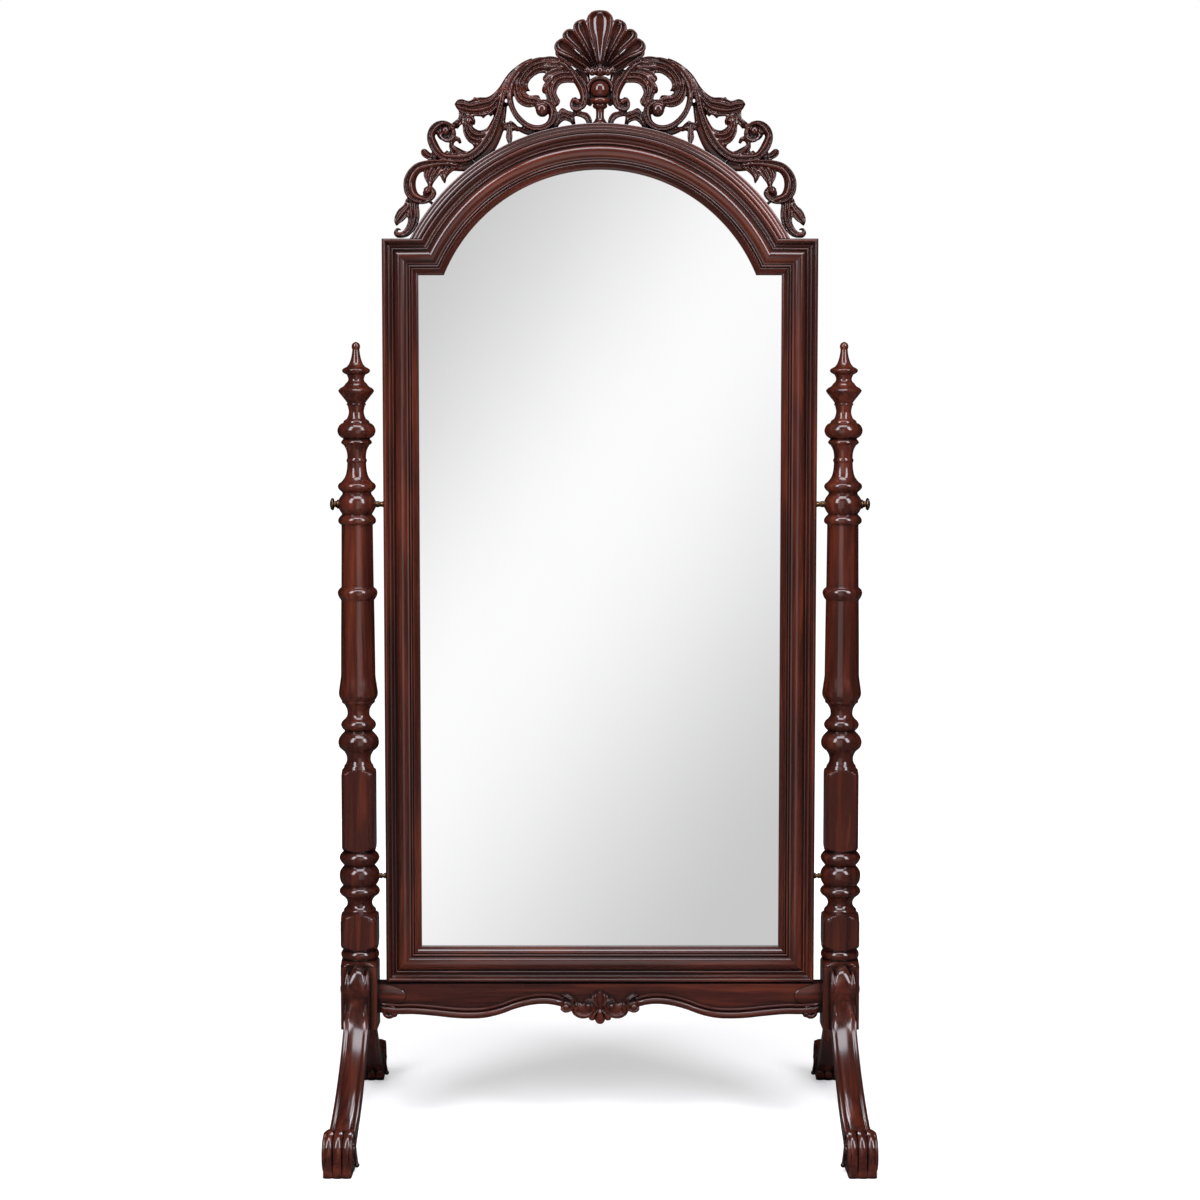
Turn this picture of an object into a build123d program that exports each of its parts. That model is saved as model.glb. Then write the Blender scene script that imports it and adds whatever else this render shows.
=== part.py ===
from build123d import *
from math import atan2, cos, degrees, hypot, radians, sin, sqrt
import os

os.makedirs("parts", exist_ok=True)

# Cheval mirror: an arched, crested mirror that tilts between two turned posts on carved scroll feet.
# Millimetres. X to the right, Y to the back, Z up. The origin is on the floor, midway between the posts.

# Posts and their square base blocks
POST_X = 414.0
BLOCK_HALF = 31.5
BLOCK_BOTTOM = 170.0
BLOCK_TOP = 288.0
BLOCK_EDGE = 1.5
LOW_SHAFT = (308.5, 367.7, 31.1)
HIGH_SHAFT = (476.1, 618.1, 28.0)
SHAFT_CHAMFER = 5.5
SHOULDER_CHAMFER = 3.5
FINIAL_Z = 1142.4
SPIGOT_R = 6.0
SPIGOT_LENGTH = 30.0

# Pivot hardware, turned brass
PIVOT_Z = 1072.0
PIVOT_BALL_R = 32.0
SHANK_R = 4.0
RUNNING = 0.05
SEAT = 0.02
BUSH_R = 7.0
FLANGE_R = 8.0
FLANGE_WIDTH = 3.6
KNOB_R = 10.8
KNOB_WIDTH = 7.6
INSERT_LENGTH = 22.0
COLLAR_R = 5.4
COLLAR_GAP = 0.5
STEADY_Z = 432.0
STEADY_BALL_R = 34.5
STEADY_R = 5.0
STEADY_GAP = 0.5

# Legs: front and rear are alike, and turn out a little from the post
LEG_HALF = 20.5
FOOT_HALF = 23.0
LEG_SPLAY = 1.5
SCROLL_CENTRE = (290.0, 38.0)
SCROLL_R = 35.0
SOLE = (267.0, 323.0)
DOWEL_R = 4.5
DOWEL_HALF_LENGTH = 18.0
DOWEL_HEIGHTS = (262.0, 207.0)

# Stretcher rail and its carved apron
RAIL_FRONT = -16.0
RAIL_BACK = 18.0
RAIL_TOP = 246.5
TENON_LENGTH = 25.0
TENON_HALF = 10.0
TENON_Z = (207.0, 242.0)
BEAD_DEPTH = 7.0
BEAD_HEIGHT = 17.0
TONGUE_DEPTH = 2.5
BOLT_Z = 234.0
BOLT_R = 4.0
BOLT_HEAD_R = 6.5
BOLT_HEAD = 5.0
BOLT_CAP_R = 8.5
BOLT_CAP = 3.5
NUT_X = 352.0
NUT_R = 6.0

# Mirror frame: one moulding section all the way round, given by its sight line
SIGHT_X = 307.0
SIGHT_BOTTOM = 310.5
SIGHT_SHOULDER = 1459.0
ARCH_Z = 1350.0
ARCH_R = 285.6
WIDTH = 61.0
BACK = 20.0
REBATE = 8.0
BOARD_REBATE = 18.0
LIP_BACK = -3.0
GLASS = 4.0
BOARD_FRONT = 13.0
BOARD = 5.5
GLASS_PLAY = 1.0
BOARD_PLAY = 0.5
CAP_WIDTH = 16.0
CAP_FRONT = -17.0
CAP_BACK = 16.0
CAP_REEDS = 4
CAP_GROOVE = 1.0
TONGUE_SIZE = (20.0, 4.0, 30.0)
SCREW_R = 1.6
SCREW_HEAD_R = 3.5
SCREW_LENGTH = 14.0

# Crest: a flat-backed carving that stands on the cap
CREST_BACK = 4.0
CREST_MAIN = -15.0
CREST_LEAF = -11.0
CREST_BEAD = -18.0
PLATE_FRONT = -4.0
BOSS_R = 16.5
BOSS_Z = 1768.0
CREST_DOWEL_R = 2.5
CREST_DOWEL_ANGLES = (0.0, 17.7, 35.5, 51.0)
CREST_DOWEL_Y = -6.0


def save(shape, name):
    export_step(shape, f"parts/{name}.step")
    print(name, len(shape.solids()), "solids, size", [round(v, 1) for v in shape.bounding_box().size])


def save_pair(shape, name):
    save(shape, name + "_left")
    save(mirror(shape, about=Plane.YZ), name + "_right")


def both_sides(shape):
    return Compound(children=[*shape.solids(), *mirror(shape, about=Plane.YZ).solids()])


def rod_x(x0, x1, radius, z, y=0.0):
    return Pos((x0 + x1) / 2, y, z) * Rot(0, 90, 0) * Cylinder(radius, abs(x1 - x0))


def rod_y(y0, y1, radius, x, z):
    return Pos(x, (y0 + y1) / 2, z) * Rot(90, 0, 0) * Cylinder(radius, abs(y1 - y0))


def slab(face_xz, y0, y1):
    """A flat outline in the XZ plane made solid from y0 to y1."""
    return extrude(Pos(0, y0, 0) * face_xz, amount=y1 - y0, dir=(0, 1, 0))


def polygon_xz(points):
    face = make_face(Polyline(*[(x, 0, z) for x, z in points], close=True)).face()
    return face if face.normal_at().Y < 0 else -face


def disc_xz(x, z, radius):
    return Pos(x, 0, z) * Rot(90, 0, 0) * Circle(radius)


# Turned work

def turned_wire(runs):
    """Each run is one smooth bead, cove or ball; runs meet at sharp arrises."""
    edges = []
    last = None
    for run in runs:
        points = [(r, 0, z) for r, z in run]
        if last is not None and hypot(last[0] - points[0][0], last[2] - points[0][2]) > 0.01:
            edges.append(Line(last, points[0]))
        edges.append(Line(*points) if len(points) == 2 else Spline(*points))
        last = points[-1]
    return edges, (runs[0][0][0], 0, runs[0][0][1]), last


def turning(runs):
    edges, first, last = turned_wire(runs)
    foot = (0, 0, first[2])
    head = (0, 0, last[2])
    edges.insert(0, Line(foot, first))
    if last[0] > 0.01:
        edges.append(Line(last, head))
    edges.append(Line(head, foot))
    return revolve(make_face(Wire(edges)), Axis.Z, 360)


POST_RUNS = [
    [(29.0, BLOCK_TOP), (32.0, 292.0), (32.8, 297.5), (30.5, 303.0)],
    [(29.1, 304.0), (29.1, 372.0)],
    [(27.7, 374.0), (26.5, 376.0)],
    [(26.0, 376.5), (22.3, 381.0), (21.4, 386.0), (22.6, 391.0), (26.5, 396.0)],
    [(27.0, 396.5), (32.6, 401.0), (34.8, 406.0), (33.0, 411.0), (29.0, 415.0)],
    [(28.7, 416.5), (33.0, 424.0), (34.5, 433.0), (33.0, 442.0), (27.5, 449.5)],
    [(26.2, 451.0), (31.6, 457.5), (34.4, 464.1), (32.5, 470.0), (28.0, 475.0)],
    [(27.0, 476.0), (27.0, 620.0)],
    [(24.5, 623.5), (23.5, 625.5)],
    [(23.0, 626.0), (20.8, 631.0), (20.3, 635.6), (21.4, 642.0), (24.8, 648.0)],
    [(25.2, 648.7), (32.2, 655.0), (34.8, 663.2), (32.4, 673.0), (24.2, 682.5)],
    [(23.2, 684.0), (27.8, 688.5), (29.9, 694.3), (27.8, 700.0), (23.2, 704.5)],
    [(22.2, 705.5), (19.4, 710.0), (18.8, 715.0), (20.0, 722.0), (24.2, 729.8)],
    [(25.0, 730.0), (28.2, 733.0), (28.4, 736.0)],
    [(29.0, 737.0), (32.2, 742.5), (33.3, 749.0), (32.0, 760.0), (29.8, 775.0)],
    [(29.4, 780.0), (28.1, 908.0)],
    [(28.4, 908.5), (32.0, 914.0), (33.9, 921.1), (32.0, 926.5), (28.2, 930.0)],
    [(27.6, 931.0), (26.7, 1036.0)],
    [(27.0, 1037.0), (31.2, 1040.3), (32.2, 1044.1), (31.0, 1048.5), (26.4, 1053.8)],
    [(25.3, 1055.0), (30.4, 1063.5), (PIVOT_BALL_R, PIVOT_Z), (30.4, 1081.0), (25.3, 1088.5)],
    [(24.7, 1089.5), (24.7, 1092.0)],
    [(25.0, 1092.4), (30.4, 1097.5), (32.3, 1102.3), (30.8, 1106.5), (27.4, 1109.3)],
    [(26.4, 1110.0), (21.6, 1116.0), (18.6, 1122.5), (16.7, 1132.0), (16.0, FINIAL_Z)],
]

FINIAL_RUNS = [
    [(16.0, FINIAL_Z), (17.4, 1146.4), (16.0, 1150.2)],
    [(15.8, 1150.6), (16.2, 1158.0), (18.0, 1165.5), (21.8, 1172.5)],
    [(22.4, 1172.8), (26.3, 1177.0), (22.8, 1182.6)],
    [(22.4, 1183.2), (29.6, 1188.8), (32.4, 1197.6), (29.0, 1206.0), (24.2, 1209.6)],
    [(22.4, 1210.2), (21.2, 1213.6), (17.2, 1216.6)],
    [(16.2, 1217.2), (13.6, 1223.5), (12.8, 1230.5), (14.8, 1239.4)],
    [(15.2, 1239.8), (16.6, 1241.7), (15.2, 1243.6)],
    [(15.4, 1244.0), (19.0, 1249.0), (23.0, 1254.0), (28.2, 1260.6)],
    [(28.6, 1261.0), (30.2, 1265.0), (26.4, 1269.6)],
    [(25.0, 1270.0), (21.0, 1272.6), (18.2, 1276.6)],
    [(17.6, 1277.0), (14.4, 1280.4), (13.3, 1285.0), (15.6, 1291.4)],
    [(16.4, 1292.0), (21.8, 1295.0), (23.8, 1298.9), (21.6, 1302.0), (16.8, 1304.6)],
    [(15.6, 1305.2), (11.6, 1310.5), (8.8, 1318.0), (7.0, 1326.0), (6.1, 1334.0)],
    [(6.1, 1334.4), (7.3, 1339.6), (5.4, 1344.6), (0.0, 1347.6)],
]


def chamfered_shaft(size):
    z0, z1, half = size
    outline = chamfer(Rectangle(2 * half, 2 * half).vertices(), SHAFT_CHAMFER)
    bar = extrude(Pos(0, 0, z0) * outline, amount=z1 - z0 + SHOULDER_CHAMFER)
    ends = bar.faces().sort_by(Axis.Z)
    return chamfer(ends[0].edges() + ends[-1].edges(), SHOULDER_CHAMFER)


def make_post():
    """The left post, about its own axis, then moved out to its place."""
    block = Pos(0, 0, (BLOCK_BOTTOM + BLOCK_TOP) / 2) * Box(
        2 * BLOCK_HALF, 2 * BLOCK_HALF, BLOCK_TOP - BLOCK_BOTTOM)
    block = chamfer(block.edges().group_by(Axis.Z)[-1], 3 * BLOCK_EDGE)
    post = block + turning(POST_RUNS) + chamfered_shaft(LOW_SHAFT) + chamfered_shaft(HIGH_SHAFT)
    post -= Pos(0, 0, FINIAL_Z - SPIGOT_LENGTH / 2) * Cylinder(SPIGOT_R + SEAT, SPIGOT_LENGTH + 1)
    post -= rod_x(-60, 60, BUSH_R + SEAT, PIVOT_Z)
    post -= rod_x(14, 40, 3 + SEAT, STEADY_Z)
    post = Pos(-POST_X, 0, 0) * post
    post -= tenon(SEAT)
    post -= rod_x(-POST_X - 60, -POST_X + 10, BOLT_R + 0.1, BOLT_Z, RAIL_MIDDLE)
    post -= rod_x(-OUTER_FACE - 5, -OUTER_FACE + BOLT_HEAD, BOLT_HEAD_R + 0.1, BOLT_Z, RAIL_MIDDLE)
    for sign in (-1, 1):
        post -= leg_dowels(sign, SEAT)
    return post


def make_finial():
    finial = turning(FINIAL_RUNS)
    finial += Pos(0, 0, FINIAL_Z - SPIGOT_LENGTH / 2 + 1) * Cylinder(SPIGOT_R, SPIGOT_LENGTH - 2)
    return Pos(-POST_X, 0, 0) * finial


OUTER_FACE = POST_X + BLOCK_HALF
INNER_FACE = POST_X - BLOCK_HALF
RAIL_MIDDLE = (RAIL_FRONT + RAIL_BACK) / 2


# Legs

LEG_TOP_CURVE = [
    (29.0, 284.0), (45.0, 278.0), (56.0, 262.0), (58.5, 245.0), (54.5, 226.0),
    (58.0, 207.0), (72.0, 184.0), (98.0, 156.0), (134.0, 125.0), (176.0, 97.0),
    (222.0, 74.0), (258.0, 62.0),
]
LEG_UNDER_CURVE = [
    (266.0, 9.0), (256.0, 22.0), (228.0, 37.0), (190.0, 57.0), (150.0, 83.0),
    (112.0, 114.0), (80.0, 143.0), (52.0, 160.0), (29.0, 168.0),
]


def leg_body():
    """Side profile in the YZ plane, out from the post along +Y."""
    top = Spline(*[(0, y, z) for y, z in LEG_TOP_CURVE])
    under = Spline(*[(0, y, z) for y, z in LEG_UNDER_CURVE])
    tip = Line(top @ 1, (0, SCROLL_CENTRE[0], SCROLL_CENTRE[1]))
    back = Line((0, SCROLL_CENTRE[0], SCROLL_CENTRE[1]), under @ 0)
    root = Line(under @ 1, top @ 0)
    face = make_face(Wire([top, tip, back, under, root]))
    body = extrude(Pos(-LEG_HALF, 0, 0) * face, amount=2 * LEG_HALF, dir=(1, 0, 0))
    foot = rod_x(-FOOT_HALF, FOOT_HALF, SCROLL_R, SCROLL_CENTRE[1], SCROLL_CENTRE[0])
    base = Pos(0, (SOLE[0] + SOLE[1]) / 2, SCROLL_CENTRE[1] / 2) * Box(
        2 * FOOT_HALF, SOLE[1] - SOLE[0], SCROLL_CENTRE[1])
    return body + foot + base


def make_leg(sign):
    """Sign is -1 for a front leg and 1 for a rear leg; both are for the left post."""
    leg = leg_body()
    if sign < 0:
        leg = mirror(leg, about=Plane.XZ)
    leg = Rot(0, 0, sign * LEG_SPLAY) * leg
    leg = Pos(-POST_X, 0, 0) * leg
    leg -= Pos(-POST_X, 0, 200) * Box(200, 2 * BLOCK_HALF, 400)
    return leg - leg_dowels(sign, SEAT)


def leg_dowels(sign, play=0.0):
    y = sign * BLOCK_HALF
    reach = DOWEL_HALF_LENGTH + (1.0 if play else 0.0)
    pins = [rod_y(y - reach, y + reach, DOWEL_R + play, -POST_X, z) for z in DOWEL_HEIGHTS]
    return pins[0] + pins[1]


# Stretcher rail and apron

APRON_CURVE = [
    (-376.0, 196.0), (-350.0, 194.0), (-318.0, 194.0), (-283.0, 191.0), (-250.0, 187.5),
    (-222.0, 186.5), (-198.0, 188.0), (-172.0, 194.0), (-146.0, 203.5), (-120.0, 210.0),
    (-98.0, 212.0), (-80.0, 210.5), (-62.0, 206.0),
]
END_SCROLL = (-363.0, 200.0, 12.0)
CURL = (-59.0, 210.0, 10.0)
VOLUTES = [(-23.0, 207.0, 14.5), (-41.0, 203.0, 11.5)]
FAN = [(0.0, 187.0, 9.5), (-12.0, 191.0, 7.5), (12.0, 191.0, 7.5)]
CROWN = [(0.0, 225.0, 9.5), (-9.0, 221.0, 7.5), (9.0, 221.0, 7.5)]


def tenon(play=0.0):
    z0, z1 = TENON_Z
    length = TENON_LENGTH + 40
    return Pos(-INNER_FACE - TENON_LENGTH - play + length / 2, RAIL_MIDDLE, (z0 + z1) / 2) * Box(
        length, 2 * (TENON_HALF + play), z1 - z0 + 2 * play)


def make_rail():
    lower = Spline(*[(x, 0, z) for x, z in APRON_CURVE])
    start = (-INNER_FACE, 0, APRON_CURVE[0][1])
    outline = Wire([
        Line((0, 0, RAIL_TOP), (-INNER_FACE, 0, RAIL_TOP)),
        Line((-INNER_FACE, 0, RAIL_TOP), start),
        Line(start, lower @ 0),
        lower,
        Line(lower @ 1, (0, 0, APRON_CURVE[-1][1])),
        Line((0, 0, APRON_CURVE[-1][1]), (0, 0, RAIL_TOP)),
    ])
    half = slab(make_face(outline), RAIL_FRONT, RAIL_BACK) + tenon()
    half -= rod_x(-INNER_FACE - TENON_LENGTH - 5, -NUT_X + 12, BOLT_R + 0.1, BOLT_Z, RAIL_MIDDLE)
    half -= rod_y(RAIL_MIDDLE - 12, RAIL_BACK + 5, NUT_R + SEAT, -NUT_X, BOLT_Z)
    return half + mirror(half, about=Plane.YZ)


def make_apron_bead():
    lower = Spline(*[(x, 0, z) for x, z in APRON_CURVE])
    upper = Spline(*[(x, 0, z + BEAD_HEIGHT) for x, z in APRON_CURVE])
    band = make_face(Wire([lower, Line(lower @ 1, upper @ 1), upper, Line(upper @ 0, lower @ 0)]))
    front = RAIL_FRONT - BEAD_DEPTH
    bead = slab(band, front, RAIL_FRONT)
    for x, z, r in (END_SCROLL, CURL):
        bead += slab(disc_xz(x, z, r), front - 1, RAIL_FRONT)
    return bead - slab(ornament_face(), front - 20, RAIL_FRONT + 20)


def ornament_face():
    """Outline of the centre ornament: crown, fan and two pairs of volutes."""
    face = polygon_xz([(-13, 224), (13, 224), (16, 190), (-16, 190)])
    for x, z, r in VOLUTES:
        face += disc_xz(x, z, r) + disc_xz(-x, z, r)
    for x, z, r in FAN + CROWN:
        face += disc_xz(x, z, r)
    return face


def make_apron_shell():
    shell = slab(ornament_face(), RAIL_FRONT - BEAD_DEPTH - 2, RAIL_FRONT)
    for x, z, r in VOLUTES[:1]:
        for side in (-1, 1):
            ring = disc_xz(side * x, z, r - 3) - disc_xz(side * x, z, r - 8)
            shell -= slab(ring, RAIL_FRONT - BEAD_DEPTH - 3, RAIL_FRONT - BEAD_DEPTH + 2)
    return shell


def make_tongue():
    """Half-oval end plate, 2.5 mm proud of the rail, notched over the bead."""
    middle = (RAIL_TOP + 212.0) / 2
    oval = Pos(-INNER_FACE, 0, middle) * Rot(90, 0, 0) * Ellipse(48.0, (RAIL_TOP - 212.0) / 2)
    keep = polygon_xz([(-INNER_FACE, 190), (-300, 190), (-300, 260), (-INNER_FACE, 260)])
    return slab(oval & keep, RAIL_FRONT - TONGUE_DEPTH, RAIL_FRONT) - make_apron_bead()


def make_bolt():
    head = rod_x(-OUTER_FACE, -OUTER_FACE + BOLT_HEAD - 0.2, BOLT_HEAD_R, BOLT_Z, RAIL_MIDDLE)
    return head + rod_x(-OUTER_FACE, -NUT_X + 10, BOLT_R, BOLT_Z, RAIL_MIDDLE)


def make_barrel_nut():
    nut = rod_y(RAIL_MIDDLE - 11, RAIL_BACK - 1, NUT_R, -NUT_X, BOLT_Z)
    return nut - rod_x(-NUT_X - 20, -NUT_X + 20, BOLT_R + SEAT, BOLT_Z, RAIL_MIDDLE)


def make_bolt_cap():
    cap = rod_x(-OUTER_FACE - BOLT_CAP, -OUTER_FACE, BOLT_CAP_R, BOLT_Z, RAIL_MIDDLE)
    return fillet(cap.edges().sort_by(Axis.X)[0], 2.0)


# Pivot hardware

def turned_x(profile, z):
    """Profile is (x, r) pairs, joined by straight lines and turned about an axis along X."""
    points = [(x, 0, z + r) for x, r in profile]
    outline = Polyline((profile[0][0], 0, z), *points, (profile[-1][0], 0, z), close=True)
    return revolve(make_face(outline), Axis((0, 0, z), (1, 0, 0)), 360)


BUSH_SEAT = -POST_X - 31.3
BUSH_END = -POST_X + 31.6
FRAME_X = -(SIGHT_X + WIDTH)


def make_bush():
    bush = turned_x([
        (BUSH_SEAT - FLANGE_WIDTH, 5.6), (BUSH_SEAT - FLANGE_WIDTH + 1.2, FLANGE_R),
        (BUSH_SEAT, FLANGE_R), (BUSH_SEAT, BUSH_R), (BUSH_END, BUSH_R)], PIVOT_Z)
    return bush - rod_x(-500, -300, SHANK_R + RUNNING, PIVOT_Z)


def make_pivot_screw():
    neck = BUSH_SEAT - FLANGE_WIDTH - 0.3
    face = neck - 3.6
    end = FRAME_X + INSERT_LENGTH - 2
    return turned_x([
        (face - KNOB_WIDTH, 4.0), (face - KNOB_WIDTH + 1.4, 8.0), (face - KNOB_WIDTH + 3.2, KNOB_R - 0.4),
        (face - 3.0, KNOB_R), (face - 1.2, KNOB_R - 0.6), (face, 7.0), (face, 5.0), (neck, 5.6),
        (neck, SHANK_R), (end - 1, SHANK_R), (end, SHANK_R - 1)], PIVOT_Z)


def make_insert():
    insert = rod_x(FRAME_X, FRAME_X + INSERT_LENGTH, BUSH_R, PIVOT_Z)
    return insert - rod_x(-500, FRAME_X + INSERT_LENGTH - 1.5, SHANK_R + RUNNING, PIVOT_Z)


def make_collar():
    start = BUSH_END + COLLAR_GAP
    length = FRAME_X - start
    collar = turned_x([
        (start, 5.0), (start + 0.15 * length, COLLAR_R), (start + 0.35 * length, COLLAR_R),
        (start + 0.5 * length, 4.7), (start + 0.8 * length, 4.7), (FRAME_X, 5.9)], PIVOT_Z)
    return collar - rod_x(-500, -300, SHANK_R + RUNNING, PIVOT_Z)


def make_steady_pin():
    ball_face = -POST_X + STEADY_BALL_R
    end = FRAME_X - STEADY_GAP
    return turned_x([
        (ball_face - 18, 3.0), (ball_face, 3.0), (ball_face, 4.2), (ball_face + 2, STEADY_R),
        (ball_face + 4, STEADY_R), (ball_face + 5, 3.6), (end - 4, 3.6), (end - 3, STEADY_R),
        (end - 1.4, STEADY_R), (end, 4.2)], STEADY_Z)


# Mirror frame

def section(place):
    """The moulding: u runs out from the sight line, y from front to back."""
    def line(*points):
        return Polyline(*[place(u, y) for u, y in points])

    def arc(a, b, c):
        return ThreePointArc(place(*a), place(*b), place(*c))

    edges = [
        line((REBATE, LIP_BACK), (0, LIP_BACK), (0, -7)),
        arc((0, -7), (4.5, -9.3), (9.5, -14)),
        line((9.5, -14), (11, -14), (11, -12.6), (12, -12.6)),
        arc((12, -12.6), (14.5, -15.8), (17, -12.6)),
        line((17, -12.6), (18, -12.6), (18, -15), (20.5, -15)),
        arc((20.5, -15), (30, -19), (39.5, -14.5)),
        line((39.5, -14.5), (40.5, -13.6), (41.5, -13.6)),
        arc((41.5, -13.6), (43.3, -16.4), (45, -15)),
        arc((45, -15), (49.5, -14), (53.5, -17)),
        arc((53.5, -17), (57.2, -19.9), (WIDTH - 0.1, -16.1)),
        line((WIDTH - 0.1, -16.1), (WIDTH, -15.8), (WIDTH, BACK), (BOARD_REBATE, BACK), (BOARD_REBATE, BOARD_FRONT),
             (REBATE, BOARD_FRONT), (REBATE, LIP_BACK)),
    ]
    return make_face(Wire([edge for part in edges for edge in part.edges()]))


def frame_face(grow):
    """The sight opening grown by a distance: a rectangle under an arch."""
    x = SIGHT_X + grow
    z0 = SIGHT_BOTTOM - grow
    z1 = SIGHT_SHOULDER + grow
    block = polygon_xz([(-x, z0), (x, z0), (x, z1), (-x, z1)])
    arch = disc_xz(0, ARCH_Z, ARCH_R + grow)
    return block + (arch & polygon_xz([(-400, z1 - 1), (400, z1 - 1), (400, 1800), (-400, 1800)]))


OUT_X = SIGHT_X + WIDTH
OUT_BOTTOM = SIGHT_BOTTOM - WIDTH
OUT_SHOULDER = SIGHT_SHOULDER + WIDTH
OUT_R = ARCH_R + WIDTH
CAP_R = OUT_R + CAP_WIDTH
ARCH_IN = sqrt(ARCH_R ** 2 - (SIGHT_SHOULDER - ARCH_Z) ** 2)
ARCH_OUT = sqrt(OUT_R ** 2 - (OUT_SHOULDER - ARCH_Z) ** 2)


def prism(points):
    return slab(polygon_xz(points), -60, 60)


def make_stile():
    bar = extrude(section(lambda u, y: (-SIGHT_X - u, y, 200)), amount=1400, dir=(0, 0, 1))
    stile = bar & prism([(-OUT_X, OUT_BOTTOM), (-SIGHT_X, SIGHT_BOTTOM),
                         (-SIGHT_X, SIGHT_SHOULDER), (-OUT_X, OUT_SHOULDER)])
    return stile - rod_x(FRAME_X - 5, FRAME_X + INSERT_LENGTH + SEAT, BUSH_R + SEAT, PIVOT_Z)


def make_bottom_rail():
    bar = extrude(section(lambda u, y: (-400, y, SIGHT_BOTTOM - u)), amount=800, dir=(1, 0, 0))
    return bar & prism([(-OUT_X, OUT_BOTTOM), (OUT_X, OUT_BOTTOM),
                        (SIGHT_X, SIGHT_BOTTOM), (-SIGHT_X, SIGHT_BOTTOM)])


def make_shoulder():
    bar = extrude(section(lambda u, y: (-400, y, SIGHT_SHOULDER + u)), amount=200, dir=(1, 0, 0))
    return bar & prism([(-OUT_X, OUT_SHOULDER), (-SIGHT_X, SIGHT_SHOULDER),
                        (-ARCH_IN, SIGHT_SHOULDER), (-ARCH_OUT, OUT_SHOULDER)])


def make_arch_half():
    face = section(lambda u, y: (0, y, ARCH_Z + ARCH_R + u))
    ring = revolve(face, Axis((0, 0, ARCH_Z), (0, -1, 0)), 75)
    if ring.bounding_box().center().X > 0:
        ring = mirror(ring, about=Plane.YZ)
    dx = ARCH_OUT - ARCH_IN
    dz = WIDTH
    return ring & prism([(0, 1800), (0, 1400), (-ARCH_IN + 0.2 * dx, SIGHT_SHOULDER - 0.2 * dz),
                         (-ARCH_OUT - 0.8 * dx, OUT_SHOULDER + 0.8 * dz), (-ARCH_OUT - 0.8 * dx, 1800)])


def ring_xz(inner, outer):
    return disc_xz(0, ARCH_Z, outer) - disc_xz(0, ARCH_Z, inner)


def make_cap():
    """Bent strip that stands on the shoulders, its front scored into reeds."""
    cap = slab(ring_xz(OUT_R, CAP_R), CAP_FRONT, CAP_BACK)
    for i in range(1, CAP_REEDS):
        line = OUT_R + i * CAP_WIDTH / CAP_REEDS
        groove = ring_xz(line - CAP_GROOVE / 2, line + CAP_GROOVE / 2)
        cap -= slab(groove, CAP_FRONT - 5, CAP_FRONT + CAP_GROOVE)
    return cap & prism([(-400, OUT_SHOULDER), (400, OUT_SHOULDER), (400, 1800), (-400, 1800)])


def joint_tongues(play=0.0):
    """A loose tongue across each mitre and across the crown joint."""
    places = []
    for side in (-1, 1):
        places.append((side * (SIGHT_X + 0.58 * WIDTH), SIGHT_BOTTOM - 0.58 * WIDTH, side * -45))
        places.append((side * (SIGHT_X + 0.58 * WIDTH), SIGHT_SHOULDER + 0.58 * WIDTH, side * 45))
        lean = degrees(atan2(ARCH_OUT - ARCH_IN, WIDTH))
        middle = ARCH_IN + 0.58 * (ARCH_OUT - ARCH_IN)
        places.append((side * middle, SIGHT_SHOULDER + 0.58 * WIDTH, side * lean))
    places.append((0, ARCH_Z + ARCH_R + 0.58 * WIDTH, 0))
    across, thick, along = TONGUE_SIZE
    return [Pos(x, 2, z) * Rot(0, turn, 0) * Box(across + 2 * play, thick + 2 * play, along + 2 * play)
            for x, z, turn in places]


def screw_places():
    inset = (REBATE + BOARD_REBATE) / 2
    x = SIGHT_X + inset
    low = SIGHT_BOTTOM - inset
    places = [(side * x, z) for side in (-1, 1) for z in (330, 560, 790, 1020, 1250, 1440)]
    places += [(x1, low) for x1 in (-200, 0, 200)]
    radius = ARCH_R + inset
    places += [(radius * sin(radians(a)), ARCH_Z + radius * cos(radians(a))) for a in (-55, -28, 0, 28, 55)]
    return places


def board_screws():
    board_back = BOARD_FRONT + BOARD
    screws = []
    for x, z in screw_places():
        screw = rod_y(board_back, board_back + 1.4, SCREW_HEAD_R, x, z)
        screws.append(screw + rod_y(board_back - SCREW_LENGTH, board_back + 1.0, SCREW_R, x, z))
    return Compound(children=screws)


def drill_screws(shape, depth_front):
    for x, z in screw_places():
        if shape.bounding_box().min.X - 3 < x < shape.bounding_box().max.X + 3:
            shape -= rod_y(depth_front, BACK + 5, SCREW_R + SEAT, x, z)
    return shape


def glazing_blocks():
    y0 = LIP_BACK + GLASS
    depth = BOARD_FRONT - y0
    size = 7.0
    blocks = []
    for side in (-1, 1):
        for z in (420, 780, 1140):
            blocks.append(Pos(side * (SIGHT_X + REBATE - size / 2), y0 + depth / 2, z) * Box(size, depth, 30))
        blocks.append(Pos(side * 110, y0 + depth / 2, SIGHT_BOTTOM - REBATE + size / 2) * Box(30, depth, size))
    for angle in (-40, 0, 40):
        up = Pos(0, y0 + depth / 2, ARCH_R + REBATE - 0.5 - size / 2) * Box(30, depth, size)
        blocks.append(Pos(0, 0, ARCH_Z) * Rot(0, angle, 0) * up)
    return Compound(children=blocks)


# Crest

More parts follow.
